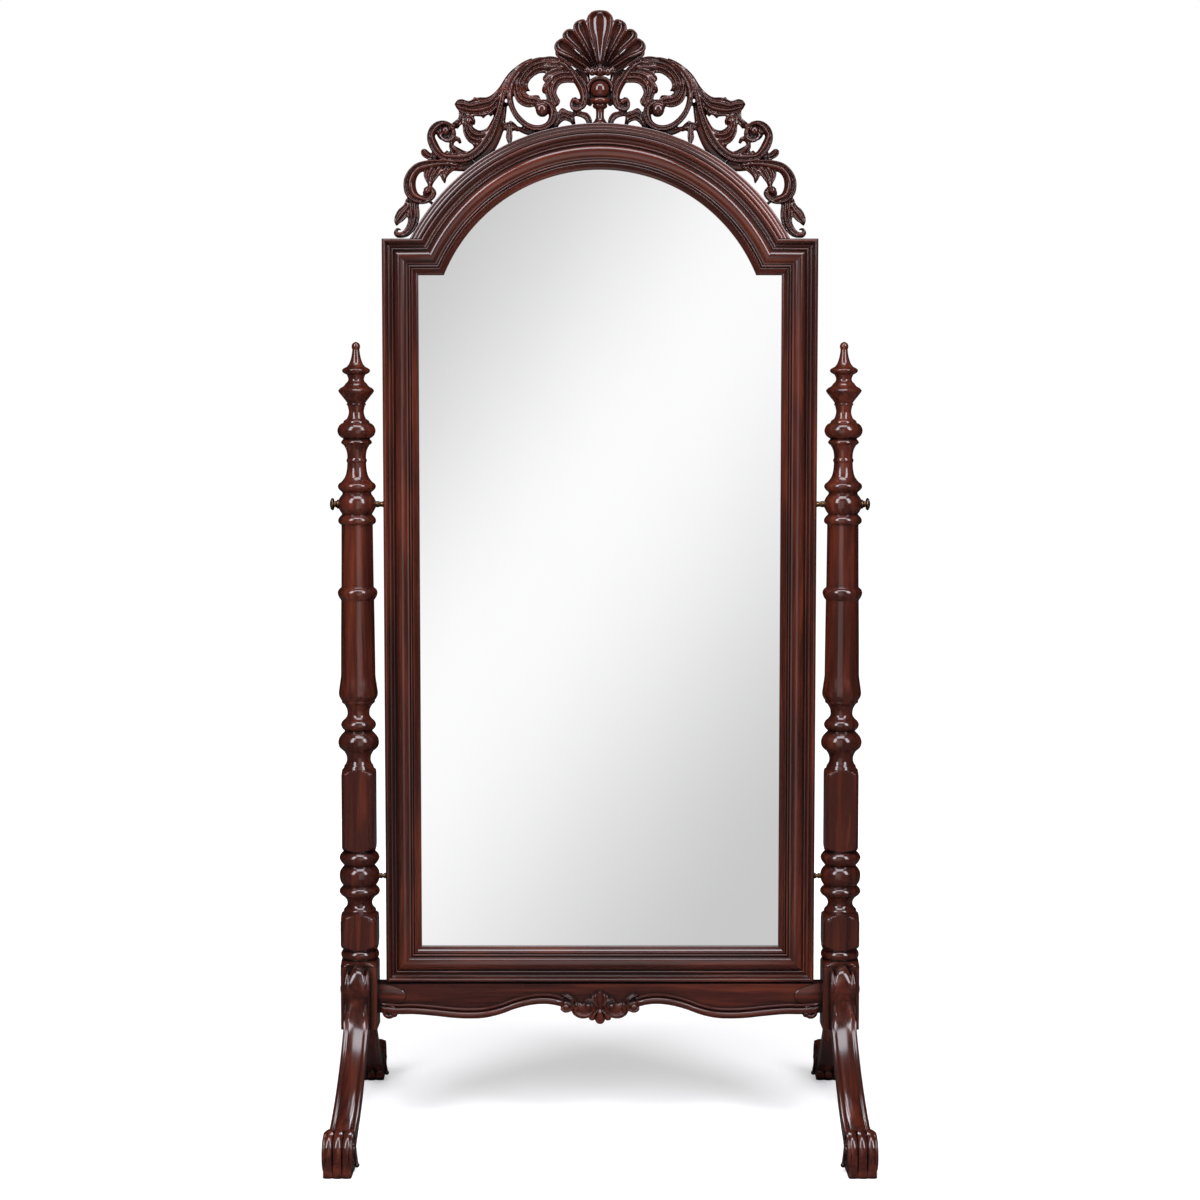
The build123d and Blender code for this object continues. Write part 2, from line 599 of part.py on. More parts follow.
def smooth_points(points, widths, steps=3):
    """Points, directions and half widths along a smooth line through the given points."""
    found = []
    last = len(points) - 1
    for i in range(last):
        p0 = points[max(i - 1, 0)]
        p1 = points[i]
        p2 = points[i + 1]
        p3 = points[min(i + 2, last)]
        for k in range(steps + (i == last - 1)):
            t = k / steps
            place = []
            slope = []
            for a, b, c, d in zip(p0, p1, p2, p3):
                m1 = (c - a) / 2
                m2 = (d - b) / 2
                c3 = 2 * (b - c) + m1 + m2
                c2 = 3 * (c - b) - 2 * m1 - m2
                place.append(((c3 * t + c2) * t + m1) * t + b)
                slope.append((3 * c3 * t + 2 * c2) * t + m1)
            size = hypot(*slope)
            width = widths[i] * (1 - t) + widths[i + 1] * t
            found.append((place, (slope[0] / size, slope[1] / size), width))
    return found


def stroke(points, widths, steps=1):
    """A carved stem or leaf: a band of changing width along a smooth line, with round ends."""
    line = smooth_points(points, widths, steps)
    left = [(p[0] - d[1] * w, 0, p[1] + d[0] * w) for p, d, w in line]
    right = [(p[0] + d[1] * w, 0, p[1] - d[0] * w) for p, d, w in line]
    (p, d, w), (q, e, v) = line[-1], line[0]
    tip = (p[0] + d[0] * w, 0, p[1] + d[1] * w)
    root = (q[0] - e[0] * v, 0, q[1] - e[1] * v)
    return make_face(Wire([
        Spline(*left), ThreePointArc(left[-1], tip, right[-1]),
        Spline(*right[::-1]), ThreePointArc(right[0], root, left[0])]))


# Stems of the left wing: centre line, then half width at each point
STEMS = [
    ([(-151, 1772), (-149, 1750), (-144, 1733), (-134, 1718), (-120, 1708), (-106, 1705),
      (-93, 1709), (-83, 1718), (-79, 1729), (-82, 1740), (-91, 1745), (-99, 1742)],
     [5, 6, 6, 6, 6, 6, 6, 6, 5.5, 5, 4.5, 4]),
    ([(-70, 1815), (-53, 1803), (-40, 1788), (-31, 1770), (-29, 1755), (-34, 1743), (-43, 1742), (-45, 1750)],
     [5, 7, 7, 6, 5.5, 5, 4, 3]),
    ([(-162, 1770), (-163, 1745), (-167, 1722), (-173, 1701), (-182, 1681), (-196, 1662), (-212, 1651),
      (-230, 1645), (-248, 1646), (-266, 1650), (-279, 1661), (-285, 1675), (-285, 1690), (-279, 1703),
      (-266, 1711), (-253, 1708), (-247, 1698)],
     [5, 6, 7, 9, 10, 10, 9, 8, 7, 7, 6.5, 6, 6, 6, 6, 5, 4]),
    ([(-232, 1641), (-258, 1643), (-280, 1643), (-299, 1640), (-313, 1631), (-321, 1618), (-322, 1604),
      (-315, 1592), (-303, 1585), (-290, 1585), (-284, 1594), (-290, 1601)],
     [8, 8, 8, 9, 10, 10, 9, 7.5, 7, 6.5, 5.5, 4]),
]
LEAVES = [
    ([(-82, 1811), (-105, 1806), (-125, 1797), (-138, 1783), (-140, 1768), (-133, 1754), (-120, 1744)],
     [12, 15, 18, 17, 15, 12, 6]),
    ([(-120, 1775), (-119, 1768)], [6, 3]),
    ([(-128, 1750), (-112, 1749), (-104, 1756)], [7, 5, 3]),
    ([(-45, 1797), (-60, 1794), (-74, 1787), (-84, 1775), (-86, 1761), (-80, 1749), (-73, 1742)],
     [9, 14, 14, 12, 10, 8, 7]),
    ([(-48, 1800), (-75, 1808), (-97, 1804)], [6, 7, 4]),
    ([(-52, 1794), (-76, 1797), (-92, 1788)], [6, 8, 4]),
    ([(-78, 1786), (-92, 1780), (-97, 1769)], [7, 6, 3]),
    ([(-166, 1766), (-181, 1747), (-200, 1742), (-220, 1740), (-237, 1744)], [6, 14, 13, 10, 6]),
    ([(-226, 1738), (-238, 1723), (-252, 1712)], [6, 5, 5]),
    ([(-176, 1713), (-188, 1697), (-204, 1691), (-217, 1697), (-222, 1709), (-218, 1718)], [7, 12, 12, 9, 7, 6]),
    ([(-205, 1656), (-225, 1657), (-241, 1664), (-246, 1677), (-240, 1685)], [7, 8, 8, 6, 5]),
    ([(-250, 1660), (-258, 1668)], [6, 2.5]),
    ([(-153, 1712), (-153, 1695), (-153, 1678)], [9, 5, 4]),
    ([(-274, 1655), (-286, 1659), (-296, 1665)], [6, 5, 4]),
    ([(-316, 1622), (-311, 1609), (-306, 1601)], [5, 4, 3]),
    ([(-268, 1641), (-279, 1628), (-286, 1609)], [7, 8, 2.5]),
    ([(-243, 1638), (-255, 1630), (-262, 1617)], [7, 7, 2.5]),
    ([(-292, 1584), (-276, 1582)], [8, 8]),
    ([(-320, 1590), (-325, 1573), (-333, 1560), (-341, 1548)], [5, 8, 7, 4]),
    ([(-317, 1587), (-311, 1568), (-312, 1552), (-318, 1538), (-325, 1526), (-331, 1518)], [5, 6, 7, 8, 7, 6]),
    ([(-326, 1524), (-337, 1525), (-342, 1531), (-337, 1533)], [5, 5, 4, 3]),
    ([(-80, 1710), (-68, 1727), (-55, 1727), (-47, 1712)], [6, 8, 7, 4]),
    ([(-46, 1733), (-33, 1732), (-23, 1726), (-19, 1710)], [6, 5, 5, 4]),
]
BUTTONS = [(-97, 1737, 9), (-259, 1698, 11), (-38, 1749, 6)]
BEADS = [
    [(-155, 1775), (-154, 1756), (-150, 1741), (-140, 1723), (-127, 1711), (-111, 1704), (-97, 1707), (-85, 1715)],
    [(-50, 1809), (-37, 1795), (-27, 1779), (-23, 1764), (-24, 1750)],
    [(-161, 1765), (-164, 1740), (-170, 1720), (-178, 1699), (-187, 1681), (-200, 1665), (-215, 1655), (-232, 1650),
     (-248, 1650), (-264, 1653)],
    [(-262, 1648), (-282, 1649), (-300, 1646), (-316, 1637), (-327, 1620), (-327, 1604), (-320, 1590), (-308, 1580)],
]
# Shell lobes: tip centre and tip radius, then where the lobe springs from
LOBES = [(0, 1880, 20, 0, 1806), (28, 1868, 16, 5, 1805), (47, 1850, 14.5, 9, 1803), (61, 1832, 13, 13, 1801)]
LOBE_ROOT = 4.5
LOBE_RIM = 3.5
TREFOIL = [(0, 1798, 8), (-14, 1794, 7), (14, 1794, 7)]
HOOD = (24.0, 17.0)


def lobe_face(lobe, shrink=0.0):
    x, z, r, x0, z0 = lobe
    root = max(LOBE_ROOT - shrink, 1.0)
    tip = Pos(x, z) * Circle(r - shrink)
    hull = make_hull(tip.edges() + (Pos(x0, z0) * Circle(root)).edges())
    return Rot(90, 0, 0) * hull


def shell_face():
    face = lobe_face(LOBES[0])
    for x, z, r, x0, z0 in LOBES[1:]:
        face += lobe_face((x, z, r, x0, z0))
        face += lobe_face((-x, z, r, -x0, z0))
    for x, z, r in TREFOIL:
        face += disc_xz(x, z, r)
    return face


def plate_face():
    """Backing plate behind the ball, shared by the shell and the hood."""
    return disc_xz(0, BOSS_Z, HOOD[0]) & polygon_xz([(-21, 1743), (21, 1743), (21, 1800), (-21, 1800)])


def below_crest():
    cap = Pos(0, 0, ARCH_Z) * Rot(90, 0, 0) * Cylinder(CAP_R, 200)
    return cap + Pos(0, 0, OUT_SHOULDER - 200) * Box(900, 200, 400)


def make_wing():
    stems = stroke(*STEMS[0])
    for line, widths in STEMS[1:]:
        stems += stroke(line, widths)
    for x, z, r in BUTTONS:
        stems += disc_xz(x, z, r)
    leaves = stroke(*LEAVES[0])
    for line, widths in LEAVES[1:]:
        leaves += stroke(line, widths)
    wing = slab(stems, CREST_MAIN, CREST_BACK) + slab(leaves, CREST_LEAF, CREST_BACK)
    for line in BEADS:
        wing += slab(stroke(line, [1.8] * len(line)), CREST_BEAD, CREST_MAIN + 4)
    wing -= below_crest()
    wing -= slab(shell_face() + plate_face(), -60, 60)
    return wing - crest_dowels(SEAT)


def make_shell():
    shell = slab(shell_face(), CREST_MAIN, CREST_BACK)
    for x, z, r, x0, z0 in LOBES:
        for side in (-1, 1):
            if x or side > 0:
                hollow = lobe_face((side * x, z, r, side * x0, z0), LOBE_RIM)
                shell -= slab(hollow, CREST_MAIN - 5, CREST_MAIN + 6)
    shell += slab(plate_face(), PLATE_FRONT, CREST_BACK)
    ring = plate_face() & polygon_xz([(-30, 1772), (30, 1772), (30, 1800), (-30, 1800)])
    shell += slab(ring, CREST_MAIN + 3, CREST_BACK)
    return shell - slab(disc_xz(0, BOSS_Z, BOSS_R + SEAT), CREST_MAIN - 20, PLATE_FRONT)


BOSS_RUNS = [
    [(12.5, 1711.0), (12.0, 1714.5), (8.0, 1719.0)],
    [(7.2, 1720.0), (6.8, 1729.0), (7.4, 1737.0)],
    [(9.0, 1738.0), (12.0, 1742.0), (13.0, 1745.5)],
    [(17.0, 1746.0), (18.6, 1750.0), (17.0, 1753.8)],
    [(12.0, 1754.2), (12.0, 1757.0)],
]


def make_boss():
    """Split turning: stem, ring and ball, flat at the back."""
    boss = turning(BOSS_RUNS) + Pos(0, 0, BOSS_Z) * Sphere(BOSS_R)
    boss = Pos(0, PLATE_FRONT, 0) * boss
    boss &= Pos(0, PLATE_FRONT - 50, BOSS_Z) * Box(200, 100, 300)
    return boss - below_crest() - crest_dowels(SEAT)


def crest_dowel(angle, play=0.0):
    reach = 18.0 if angle else 20.0
    inner = CAP_R - 26.0
    pin = Pos(0, CREST_DOWEL_Y - (2.5 if angle == 0 else 0), (inner + CAP_R + reach / 2) / 2) * Cylinder(
        CREST_DOWEL_R + play, CAP_R + reach / 2 - inner + 2 * play)
    return Pos(0, 0, ARCH_Z) * Rot(0, angle, 0) * pin


def crest_dowels(play=0.0):
    pins = [crest_dowel(0.0, play)]
    for angle in CREST_DOWEL_ANGLES[1:]:
        pins += [crest_dowel(angle, play), crest_dowel(-angle, play)]
    return Compound(children=pins)


def main():
    save_pair(make_post(), "post")
    save_pair(make_finial(), "finial")
    for sign, place in ((-1, "front"), (1, "rear")):
        leg = make_leg(sign)
        save(leg, f"leg_{place}_left")
        save(mirror(leg, about=Plane.YZ), f"leg_{place}_right")
    save(both_sides(Compound(children=[*leg_dowels(-1).solids(), *leg_dowels(1).solids()])), "leg_dowels")
    save(make_rail(), "stretcher_rail")
    save_pair(make_apron_bead(), "apron_bead")
    save(make_apron_shell(), "apron_shell")
    save_pair(make_tongue(), "rail_tongue")
    save(both_sides(make_bolt()), "stretcher_bolts")
    save(both_sides(make_barrel_nut()), "barrel_nuts")
    save(both_sides(make_bolt_cap()), "bolt_caps")
    save_pair(make_bush(), "pivot_bush")
    save_pair(make_pivot_screw(), "pivot_screw")
    save_pair(make_insert(), "pivot_insert")
    save_pair(make_collar(), "pivot_collar")
    save_pair(make_steady_pin(), "steady_pin")

    tongues = joint_tongues()
    pockets = joint_tongues(SEAT)
    for name, shape in (("frame_stile", make_stile()), ("frame_shoulder", make_shoulder()),
                        ("frame_arch", make_arch_half())):
        for pocket in pockets:
            shape -= pocket
        shape = drill_screws(shape, BOARD_FRONT + BOARD - SCREW_LENGTH - 1)
        save_pair(shape - crest_dowels(SEAT), name)
    bottom = make_bottom_rail()
    for pocket in pockets:
        bottom -= pocket
    save(drill_screws(bottom, BOARD_FRONT + BOARD - SCREW_LENGTH - 1), "frame_bottom_rail")
    save(Compound(children=tongues), "mitre_tongues")
    save(make_cap() - crest_dowels(SEAT), "arch_cap")
    save(slab(frame_face(REBATE - GLASS_PLAY), LIP_BACK, LIP_BACK + GLASS), "mirror_glass")
    save(glazing_blocks(), "glazing_blocks")
    board = slab(frame_face(BOARD_REBATE - BOARD_PLAY), BOARD_FRONT, BOARD_FRONT + BOARD)
    save(drill_screws(board, BOARD_FRONT - 5), "backboard")
    save(board_screws(), "backboard_screws")
    save_pair(make_wing(), "crest_wing")
    save(make_shell(), "crest_shell")
    save(make_boss(), "crest_boss")
    save(crest_dowels(), "crest_dowels")


main()
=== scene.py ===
import math

import bmesh
import bpy
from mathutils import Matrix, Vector


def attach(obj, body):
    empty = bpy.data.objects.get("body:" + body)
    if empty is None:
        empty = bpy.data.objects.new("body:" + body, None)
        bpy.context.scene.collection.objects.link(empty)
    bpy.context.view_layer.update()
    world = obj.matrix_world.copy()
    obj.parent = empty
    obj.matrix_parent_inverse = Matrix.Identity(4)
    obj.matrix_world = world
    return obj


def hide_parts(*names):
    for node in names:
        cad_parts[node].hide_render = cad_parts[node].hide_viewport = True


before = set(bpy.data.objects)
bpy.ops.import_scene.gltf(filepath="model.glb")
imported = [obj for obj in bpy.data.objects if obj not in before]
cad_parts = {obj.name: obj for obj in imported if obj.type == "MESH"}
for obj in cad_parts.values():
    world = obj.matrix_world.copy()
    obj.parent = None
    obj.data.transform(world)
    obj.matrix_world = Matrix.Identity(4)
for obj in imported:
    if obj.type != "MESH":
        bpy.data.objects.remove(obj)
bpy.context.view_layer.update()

# Cheval mirror in dark polished mahogany. Lengths are in millimetres until they become mesh points,
# X to the right, Y to the back, Z up from the floor.
MM = 0.001
SIDES = (("left", 1), ("right", -1))

POST_X = 414.0
PIVOT_Z = 1072.0
STEADY_Z = 432.0
SIGHT_X = 307.0
SIGHT_BOTTOM = 310.5
SIGHT_SHOULDER = 1459.0
ARCH_Z = 1350.0
ARCH_R = 285.6
FRAME_WIDTH = 61.0
FRAME_BACK = 20.0
CAP_R = ARCH_R + FRAME_WIDTH + 16.0
RAIL_FRONT = -16.0


# Shader maths

class Wire:
    """A number that varies over a surface. Plain arithmetic on it adds Math nodes."""

    def __init__(self, finish, socket):
        self.finish = finish
        self.socket = socket

    def maths(self, operation, first, second=0.0):
        return self.finish.add("ShaderNodeMath", {"operation": operation}, {0: first, 1: second})[0]

    def __add__(self, other):
        return self.maths("ADD", self, other)

    def __sub__(self, other):
        return self.maths("SUBTRACT", self, other)

    def __rsub__(self, other):
        return self.maths("SUBTRACT", other, self)

    def __mul__(self, other):
        return self.maths("MULTIPLY", self, other)

    def __pow__(self, other):
        return self.maths("POWER", self, other)

    __radd__ = __add__
    __rmul__ = __mul__

    def size(self):
        return self.maths("ABSOLUTE", self)

    def fade(self, low, high):
        """0 below low, 1 above high, smooth between."""
        return self.finish.add(
            "ShaderNodeMapRange", {"interpolation_type": "SMOOTHSTEP", "clamp": True},
            {"Value": self, "From Min": low, "From Max": high, "To Min": 0.0, "To Max": 1.0})["Result"]


class Finish:
    """One material, built node by node."""

    def __init__(self, name):
        self.material = bpy.data.materials.new(name)
        self.take_tree(self.material, "ShaderNodeOutputMaterial")

    def take_tree(self, owner, output):
        owner.use_nodes = True
        self.tree = owner.node_tree
        self.tree.nodes.clear()
        self.output = self.tree.nodes.new(output)

    @classmethod
    def for_world(cls, name):
        sky = cls.__new__(cls)
        sky.material = bpy.data.worlds.new(name)
        sky.take_tree(sky.material, "ShaderNodeOutputWorld")
        return sky

    def add(self, kind, settings, inputs):
        """A node: its settings first, then the values or wires of its sockets."""
        node = self.tree.nodes.new(kind)
        for key, value in settings.items():
            if key == "stops":
                self.set_stops(node.color_ramp, value)
            else:
                setattr(node, key, value)
        for key, value in inputs.items():
            if isinstance(value, Wire):
                self.tree.links.new(value.socket, node.inputs[key])
            else:
                node.inputs[key].default_value = value
        return Sockets(self, node)

    @staticmethod
    def set_stops(ramp, stops):
        while len(ramp.elements) < len(stops):
            ramp.elements.new(0.5)
        for element, (place, colour) in zip(ramp.elements, stops):
            element.position = place
            element.color = (*colour, 1.0)

    def place(self, scale=(1, 1, 1)):
        coordinates = self.add("ShaderNodeTexCoord", {}, {})["Object"]
        return self.add("ShaderNodeMapping", {"vector_type": "POINT"}, {
            "Vector": coordinates, "Scale": scale})["Vector"]

    def place_parts(self):
        parts = self.split(self.place())
        return parts["X"], parts["Y"], parts["Z"]

    def split(self, vector):
        return self.add("ShaderNodeSeparateXYZ", {}, {"Vector": vector})

    def join(self, x, y, z):
        return self.add("ShaderNodeCombineXYZ", {}, {"X": x, "Y": y, "Z": z})["Vector"]

    def noise(self, vector, scale, detail=3.0, roughness=0.5, distortion=0.0):
        return self.add("ShaderNodeTexNoise", {"noise_dimensions": "3D"}, {
            "Vector": vector, "Scale": scale, "Detail": detail, "Roughness": roughness,
            "Distortion": distortion})["Fac"]

    def ramp(self, value, stops):
        return self.add("ShaderNodeValToRGB", {"stops": stops}, {"Fac": value})["Color"]

    def blend(self, factor, first, second):
        return self.add("ShaderNodeMix", {"data_type": "RGBA"}, {0: factor, 6: first, 7: second})[2]

    def bump(self, height, strength, distance):
        return self.add("ShaderNodeBump", {}, {
            "Height": height, "Strength": strength, "Distance": distance})["Normal"]

    def surface(self, **inputs):
        named = {key.replace("_", " "): value for key, value in inputs.items()}
        return self.shown(self.add("ShaderNodeBsdfPrincipled", {}, named)["BSDF"])

    def shown(self, shader):
        self.tree.links.new(shader.socket, self.output.inputs["Surface"])
        return self.material


class Sockets:
    """A node's outputs, by name or number."""

    def __init__(self, finish, node):
        self.finish = finish
        self.node = node

    def __getitem__(self, key):
        return Wire(self.finish, self.node.outputs[key])


# Finishes

MAHOGANY_DARK = (0.013, 0.0032, 0.0022)
MAHOGANY_MIDDLE = (0.036, 0.0074, 0.0042)
MAHOGANY_RED = (0.098, 0.0190, 0.0085)
PORE_DARK = (*[c * 0.35 for c in MAHOGANY_DARK], 1.0)
# Painted shade: the near-black colour that the polished wood turns to in hollows and creases, found by
# ambient occlusion over this reach
PAINTED_SHADE_IN_HOLLOWS = (0.0022, 0.0010, 0.0009, 1.0)
PAINTED_SHADE_REACH = 0.012
BOARD_STAIN = ((0.050, 0.026, 0.014), (0.105, 0.058, 0.030))
PALE_TIMBER = ((0.30, 0.19, 0.10), (0.46, 0.31, 0.18))
BRASS_TARNISHED = (0.060, 0.034, 0.020)
BRASS_BROWN = (0.16, 0.095, 0.052)
BRASS_RUBBED = (0.34, 0.22, 0.12)
ZINC_DULL = (0.34, 0.34, 0.33)
ZINC_BRIGHT = (0.56, 0.56, 0.54)
SILVER_HAZED = (0.935, 0.935, 0.938)
SILVER_CLEAN = (0.952, 0.952, 0.954)
# Grain marks in waves a metre, (across the run, along it)
SLOW_DRIFT = (9.0, 2.2)
LONG_STREAKS = (120.0, 5.5)
BROAD_FIGURE = (34.0, 3.0)
LACQUERED_PORES = (1500.0, 70.0)
PLAIN_STREAKS = (60.0, 3.0)
PLAIN_PORES = (900.0, 40.0)
# The leg's grain falls with its slope, (along, across)
LEG_GRAIN = (0.82, 0.57)


def grain_place(finish, run):
    """Parts of a place with the grain along the last: run is x, z or leg, and any other run follows the arch.
    """
    parts = finish.split(finish.add("ShaderNodeTexCoord", {}, {})["Object"])
    x, y, z = parts["X"], parts["Y"], parts["Z"]
    if run == "z":
        return x, y, z
    if run == "x":
        return z, y, x
    if run == "leg":
        reach = y.size()
        along, across = LEG_GRAIN
        return x, reach * across + z * along, reach * along - z * across
    up = z - ARCH_Z * MM
    radius = (x * x + up * up) ** 0.5
    return radius, y, x.maths("ARCTAN2", x, up) * (ARCH_R * MM)


def grain_noise(wood, grain, waves, detail, roughness, distortion=0.0, bend=None):
    """Noise drawn out along the grain; bend sways it across."""
    x, y, z = grain
    across, along = waves
    first = x * across
    if bend is not None:
        first = first + bend
    return wood.noise(wood.join(first, y * across, z * along), 1.0, detail, roughness, distortion)


def polished_wood(name, run, figure_share=1.0, painted_shade_from=0.42, painted_shade_to=0.96):
    """Mahogany under lacquer: long streaks, fine pores, slow changes of tone, painted shade in the hollows.
    """
    wood = Finish(name)
    grain = grain_place(wood, run)
    drift = grain_noise(wood, grain, SLOW_DRIFT, 2.0, 0.5)
    streaks = grain_noise(wood, grain, LONG_STREAKS, 4.0, 0.62, 0.35, drift * 5.0)
    figure = grain_noise(wood, grain, BROAD_FIGURE, 3.0, 0.55, 0.6)
    pores = grain_noise(wood, grain, LACQUERED_PORES, 2.0, 0.6)
    mottle = (streaks * 0.55 + figure * 0.45 - 0.5 + (drift - 0.5) * 0.35) * figure_share + 0.5
    colour = wood.ramp(mottle, [(0.28, MAHOGANY_DARK), (0.50, MAHOGANY_MIDDLE), (0.70, MAHOGANY_RED)])
    colour = wood.blend(pores.fade(0.60, 0.74) * 0.55, colour, PORE_DARK)
    # Painted shade: ambient occlusion darkens the colour in hollows, creases and between parts
    hollow = wood.add("ShaderNodeAmbientOcclusion", {"samples": 8}, {"Distance": PAINTED_SHADE_REACH})["AO"]
    colour = wood.blend(hollow.fade(painted_shade_from, painted_shade_to), PAINTED_SHADE_IN_HOLLOWS, colour)
    wear = wood.noise(wood.place(), 26.0, 3.0, 0.6)
    return wood.surface(
        Base_Color=colour, Roughness=0.42 + wear * 0.12, Specular_IOR_Level=0.04,
        Normal=wood.bump(pores * 0.5 + streaks * 0.5, 0.03, 0.0003),
        Coat_Weight=1.0, Coat_Roughness=0.13, Coat_IOR=1.5)


def plain_wood(name, run, tones):
    """Unpolished timber behind the glass and in the joints."""
    wood = Finish(name)
    grain = grain_place(wood, run)
    streaks = grain_noise(wood, grain, PLAIN_STREAKS, 4.0, 0.6, 0.4)
    pores = grain_noise(wood, grain, PLAIN_PORES, 2.0, 0.6)
    dark, light = tones
    colour = wood.ramp(streaks + (pores - 0.5) * 0.25, [(0.32, dark), (0.68, light)])
    return wood.surface(
        Base_Color=colour, Roughness=0.62 + streaks * 0.15, Normal=wood.bump(pores, 0.12, 0.0004))


def aged_brass():
    """Darkened brass, bright again where a hand rubs it."""
    brass = Finish("aged_brass")
    stain = brass.noise(brass.place(), 180.0, 4.0, 0.6)
    rubbed = brass.noise(brass.place(), 55.0, 2.0, 0.5)
    colour = brass.ramp(stain * 0.6 + rubbed * 0.4, [
        (0.34, BRASS_TARNISHED), (0.54, BRASS_BROWN), (0.70, BRASS_RUBBED)])
    return brass.surface(
        Base_Color=colour, Metallic=1.0, Roughness=0.26 + stain * 0.20,
        Normal=brass.bump(stain, 0.05, 0.0003))


def zinc_steel():
    steel = Finish("zinc_steel")
    bloom = steel.noise(steel.place(), 240.0, 3.0, 0.6)
    colour = steel.ramp(bloom, [(0.3, ZINC_DULL), (0.7, ZINC_BRIGHT)])
    return steel.surface(Base_Color=colour, Metallic=1.0, Roughness=0.28 + bloom * 0.25)


def silvered_glass():
    """Flat silvered glass, with the faintest haze of cleaning marks."""
    glass = Finish("silvered_glass")
    haze = glass.noise(glass.place(scale=(1.0, 1.0, 0.4)), 7.0, 4.0, 0.55)
    colour = glass.ramp(haze, [(0.25, SILVER_HAZED), (0.75, SILVER_CLEAN)])
    return glass.surface(Base_Color=colour, Metallic=1.0, Roughness=haze * 0.012)


# Mesh tools

def curve(points, steps=6):
    """A smooth line through points of any dimension."""
    line = []
    last = len(points) - 1
    for i in range(last):
        near = points[max(i - 1, 0)], points[i], points[i + 1], points[min(i + 2, last)]
        for k in range(steps + (i == last - 1)):
            t = k / steps
            line.append(tuple(
                b + 0.5 * t * (c - a + t * (2 * a - 5 * b + 4 * c - d + t * (3 * (b - c) + d - a)))
                for a, b, c, d in zip(*near)))
    return line


def place_object(name, mesh):
    piece = bpy.data.objects.new(name, mesh)
    bpy.context.scene.collection.objects.link(piece)
    return piece


def build(name, vertices, faces, material, sharp=32.0):
    """A mesh piece from points in millimetres: doubles merged, faces turned outwards, hard edges kept."""
    mesh = bpy.data.meshes.new(name)
    mesh.from_pydata([(x * MM, y * MM, z * MM) for x, y, z in vertices], [], faces)
    mesh.materials.append(material)
    work = bmesh.new()
    work.from_mesh(mesh)
    bmesh.ops.remove_doubles(work, verts=work.verts, dist=2e-6)
    bmesh.ops.dissolve_degenerate(work, edges=work.edges, dist=1e-6)
    bmesh.ops.recalc_face_normals(work, faces=work.faces)
    work.to_mesh(mesh)
    work.free()
    mesh.shade_smooth()
    mesh.set_sharp_from_angle(angle=math.radians(sharp))
    return place_object(name, mesh)


def circle(sides):
    """Cosine and sine of even steps round a circle."""
    return [(math.cos(2 * math.pi * k / sides), math.sin(2 * math.pi * k / sides)) for k in range(sides)]


def evaluated(piece):
    """The mesh that the piece's modifiers make, with the modifiers taken off."""
    depsgraph = bpy.context.evaluated_depsgraph_get()
    made = bpy.data.meshes.new_from_object(piece.evaluated_get(depsgraph))
    piece.modifiers.clear()
    old = piece.data
    piece.data = made
    bpy.data.meshes.remove(old)
    return piece


def fit(piece, body, node):
    """The piece rides on its body and stands for its node, which it hides."""
    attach(piece, body)
    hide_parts(node)


def loft(rings, start=0):
    """Faces over closed rings of equal length, with both ends capped."""
    count = len(rings[0])
    faces = []
    for i in range(len(rings) - 1):
        for k in range(count):
            a = start + i * count + k
            b = start + i * count + (k + 1) % count
            faces.append((a, b, b + count, a + count))
    last = start + (len(rings) - 1) * count
    faces.append(tuple(range(start + count - 1, start - 1, -1)))
    faces.append(tuple(range(last, last + count)))
    return [point for ring in rings for point in ring], faces


def gather(parts):
    """Several (vertices, faces) as one."""
    vertices = []
    faces = []
    for some, these in parts:
        shift = len(vertices)
        vertices += some
        faces += [tuple(k + shift for k in face) for face in these]
    return vertices, faces


def flipped(vertices, side):
    return [(x * side, y, z) for x, y, z in vertices]


def pair(name, shape, material, body, node, sharp=32.0):
    """Left and right copies of a shape made for the left side; SIDE in the body's name becomes the side."""
    vertices, faces = shape
    for word, side in SIDES:
        piece = build(f"{name}_{word}", flipped(vertices, side), faces, material, sharp)
        fit(piece, body.replace("SIDE", word), f"{node}_{word}")


# Turned posts and finials
FINIAL_Z = 1142.4
FREE = 60.0
TURNED_SIDES = 72
NO_STOCK = 1e9
# Half the angle of a square side between its chamfers, and the points along one
FLAT_ANGLE = 39.3
FLAT_STEPS = 14
